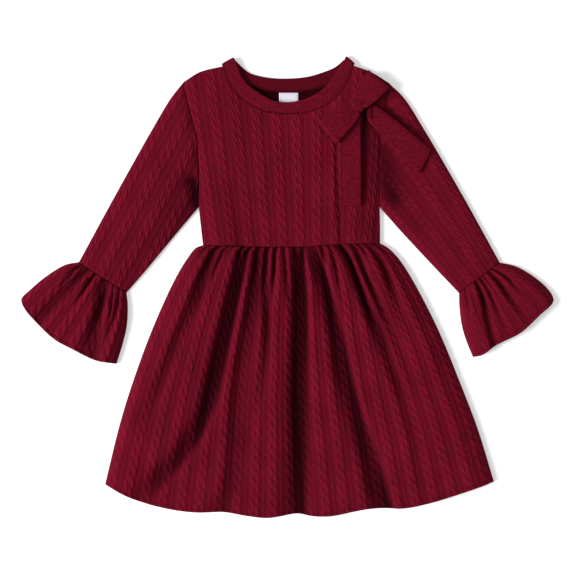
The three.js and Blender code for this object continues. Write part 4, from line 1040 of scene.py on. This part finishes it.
def label_satin():
    """Woven satin ribbon: smooth and slightly shiny, with a fine cross weave and a stitched edge."""
    material, tree, surface = new_material("label_satin", {"Roughness": 0.42, "Specular IOR Level": 0.5})
    uv = add_node(tree, "ShaderNodeUVMap", {"uv_map": "cloth"}).outputs[0]
    bands = add_node(tree, "ShaderNodeTexWave", {"bands_direction": "Y"}, {"Vector": uv, "Scale": 600.0})
    weave = bands.outputs[1]
    bump = add_node(tree, "ShaderNodeBump", inputs={"Strength": 0.25, "Distance": 0.0001, "Height": weave})
    tree.links.new(bump.outputs[0], surface.inputs["Normal"])
    # painted shade: greyer along the stitched hem line
    painted_shade = add_node(tree, "ShaderNodeAttribute", {"attribute_name": "painted_shade"}).outputs["Fac"]
    tree.links.new(blend(tree, painted_shade, linear("#DAD4E0"), linear("#B6B0BE")), surface.inputs["Base Color"])
    return material


LABEL_SATIN = label_satin()

pieces = {
    "front_skirt": front_skirt(CABLE_KNIT),
    "back_skirt": back_skirt(CABLE_KNIT),
    "front_bodice": front_bodice(CABLE_KNIT),
    "back_bodice": back_bodice(CABLE_KNIT),
    "sleeve_left": sleeve("left", CABLE_KNIT),
    "sleeve_right": sleeve("right", CABLE_KNIT),
    "cuff_ruffle_left": cuff("left", CABLE_KNIT),
    "cuff_ruffle_right": cuff("right", CABLE_KNIT),
    "neckband": neckband(PLAIN_KNIT),
    "bow_loop_upper": bow_loop("bow_loop_upper", *LOOP_UPPER, PLAIN_KNIT),
    "bow_loop_lower": bow_loop("bow_loop_lower", *LOOP_LOWER, PLAIN_KNIT),
    "bow_knot": bow_knot(PLAIN_KNIT),
    "bow_tail_long": bow_tail("bow_tail_long", TAIL_LONG, PLAIN_KNIT),
    "bow_tail_short": bow_tail("bow_tail_short", TAIL_SHORT, PLAIN_KNIT, TAIL_FOLD),
    "neck_label": neck_label(LABEL_SATIN),
}


def studio():
    """A pale floor with a faint light of its own, the lamps of LIGHTS, an even white world and a camera
    straight above."""
    size = 6.0
    mesh = bpy.data.meshes.new("studio_floor")
    corners = [(-size, -size, 0), (size, -size, 0), (size, size, 0), (-size, size, 0)]
    mesh.from_pydata([(x, y, FLOOR_Z) for x, y, _ in corners], [], [(0, 1, 2, 3)])
    paint, _, _ = new_material("pale_floor", {
        "Base Color": linear("#F7F7F7"), "Roughness": 0.9,
        "Emission Color": linear("#FFFFFF"), "Emission Strength": 0.3,
    })
    mesh.materials.append(paint)
    floor = bpy.data.objects.new("studio_floor", mesh)
    bpy.context.scene.collection.objects.link(floor)
    for name, place, width, power in LIGHTS:
        light = bpy.data.lights.new(name, "AREA")
        light.shape = "DISK"
        light.size = width
        light.energy = power
        lamp = bpy.data.objects.new(name, light)
        bpy.context.scene.collection.objects.link(lamp)
        lamp.location = place
        lamp.rotation_euler = (-Vector(place)).to_track_quat("-Z", "Y").to_euler()
    world = bpy.data.worlds.new("studio")
    bpy.context.scene.world = world
    world.use_nodes = True
    world.node_tree.nodes["Background"].inputs["Color"].default_value = linear("#FFFFFF")
    world.node_tree.nodes["Background"].inputs["Strength"].default_value = WORLD_LIGHT
    view = bpy.data.cameras.new("camera")
    view.lens = 130
    view.sensor_width = 36
    camera = bpy.data.objects.new("camera", view)
    bpy.context.scene.collection.objects.link(camera)
    camera.location = (0.0006, -0.0003, CAMERA_HEIGHT)
    bpy.context.scene.camera = camera
    bpy.context.scene.view_settings.view_transform = "Standard"


studio()
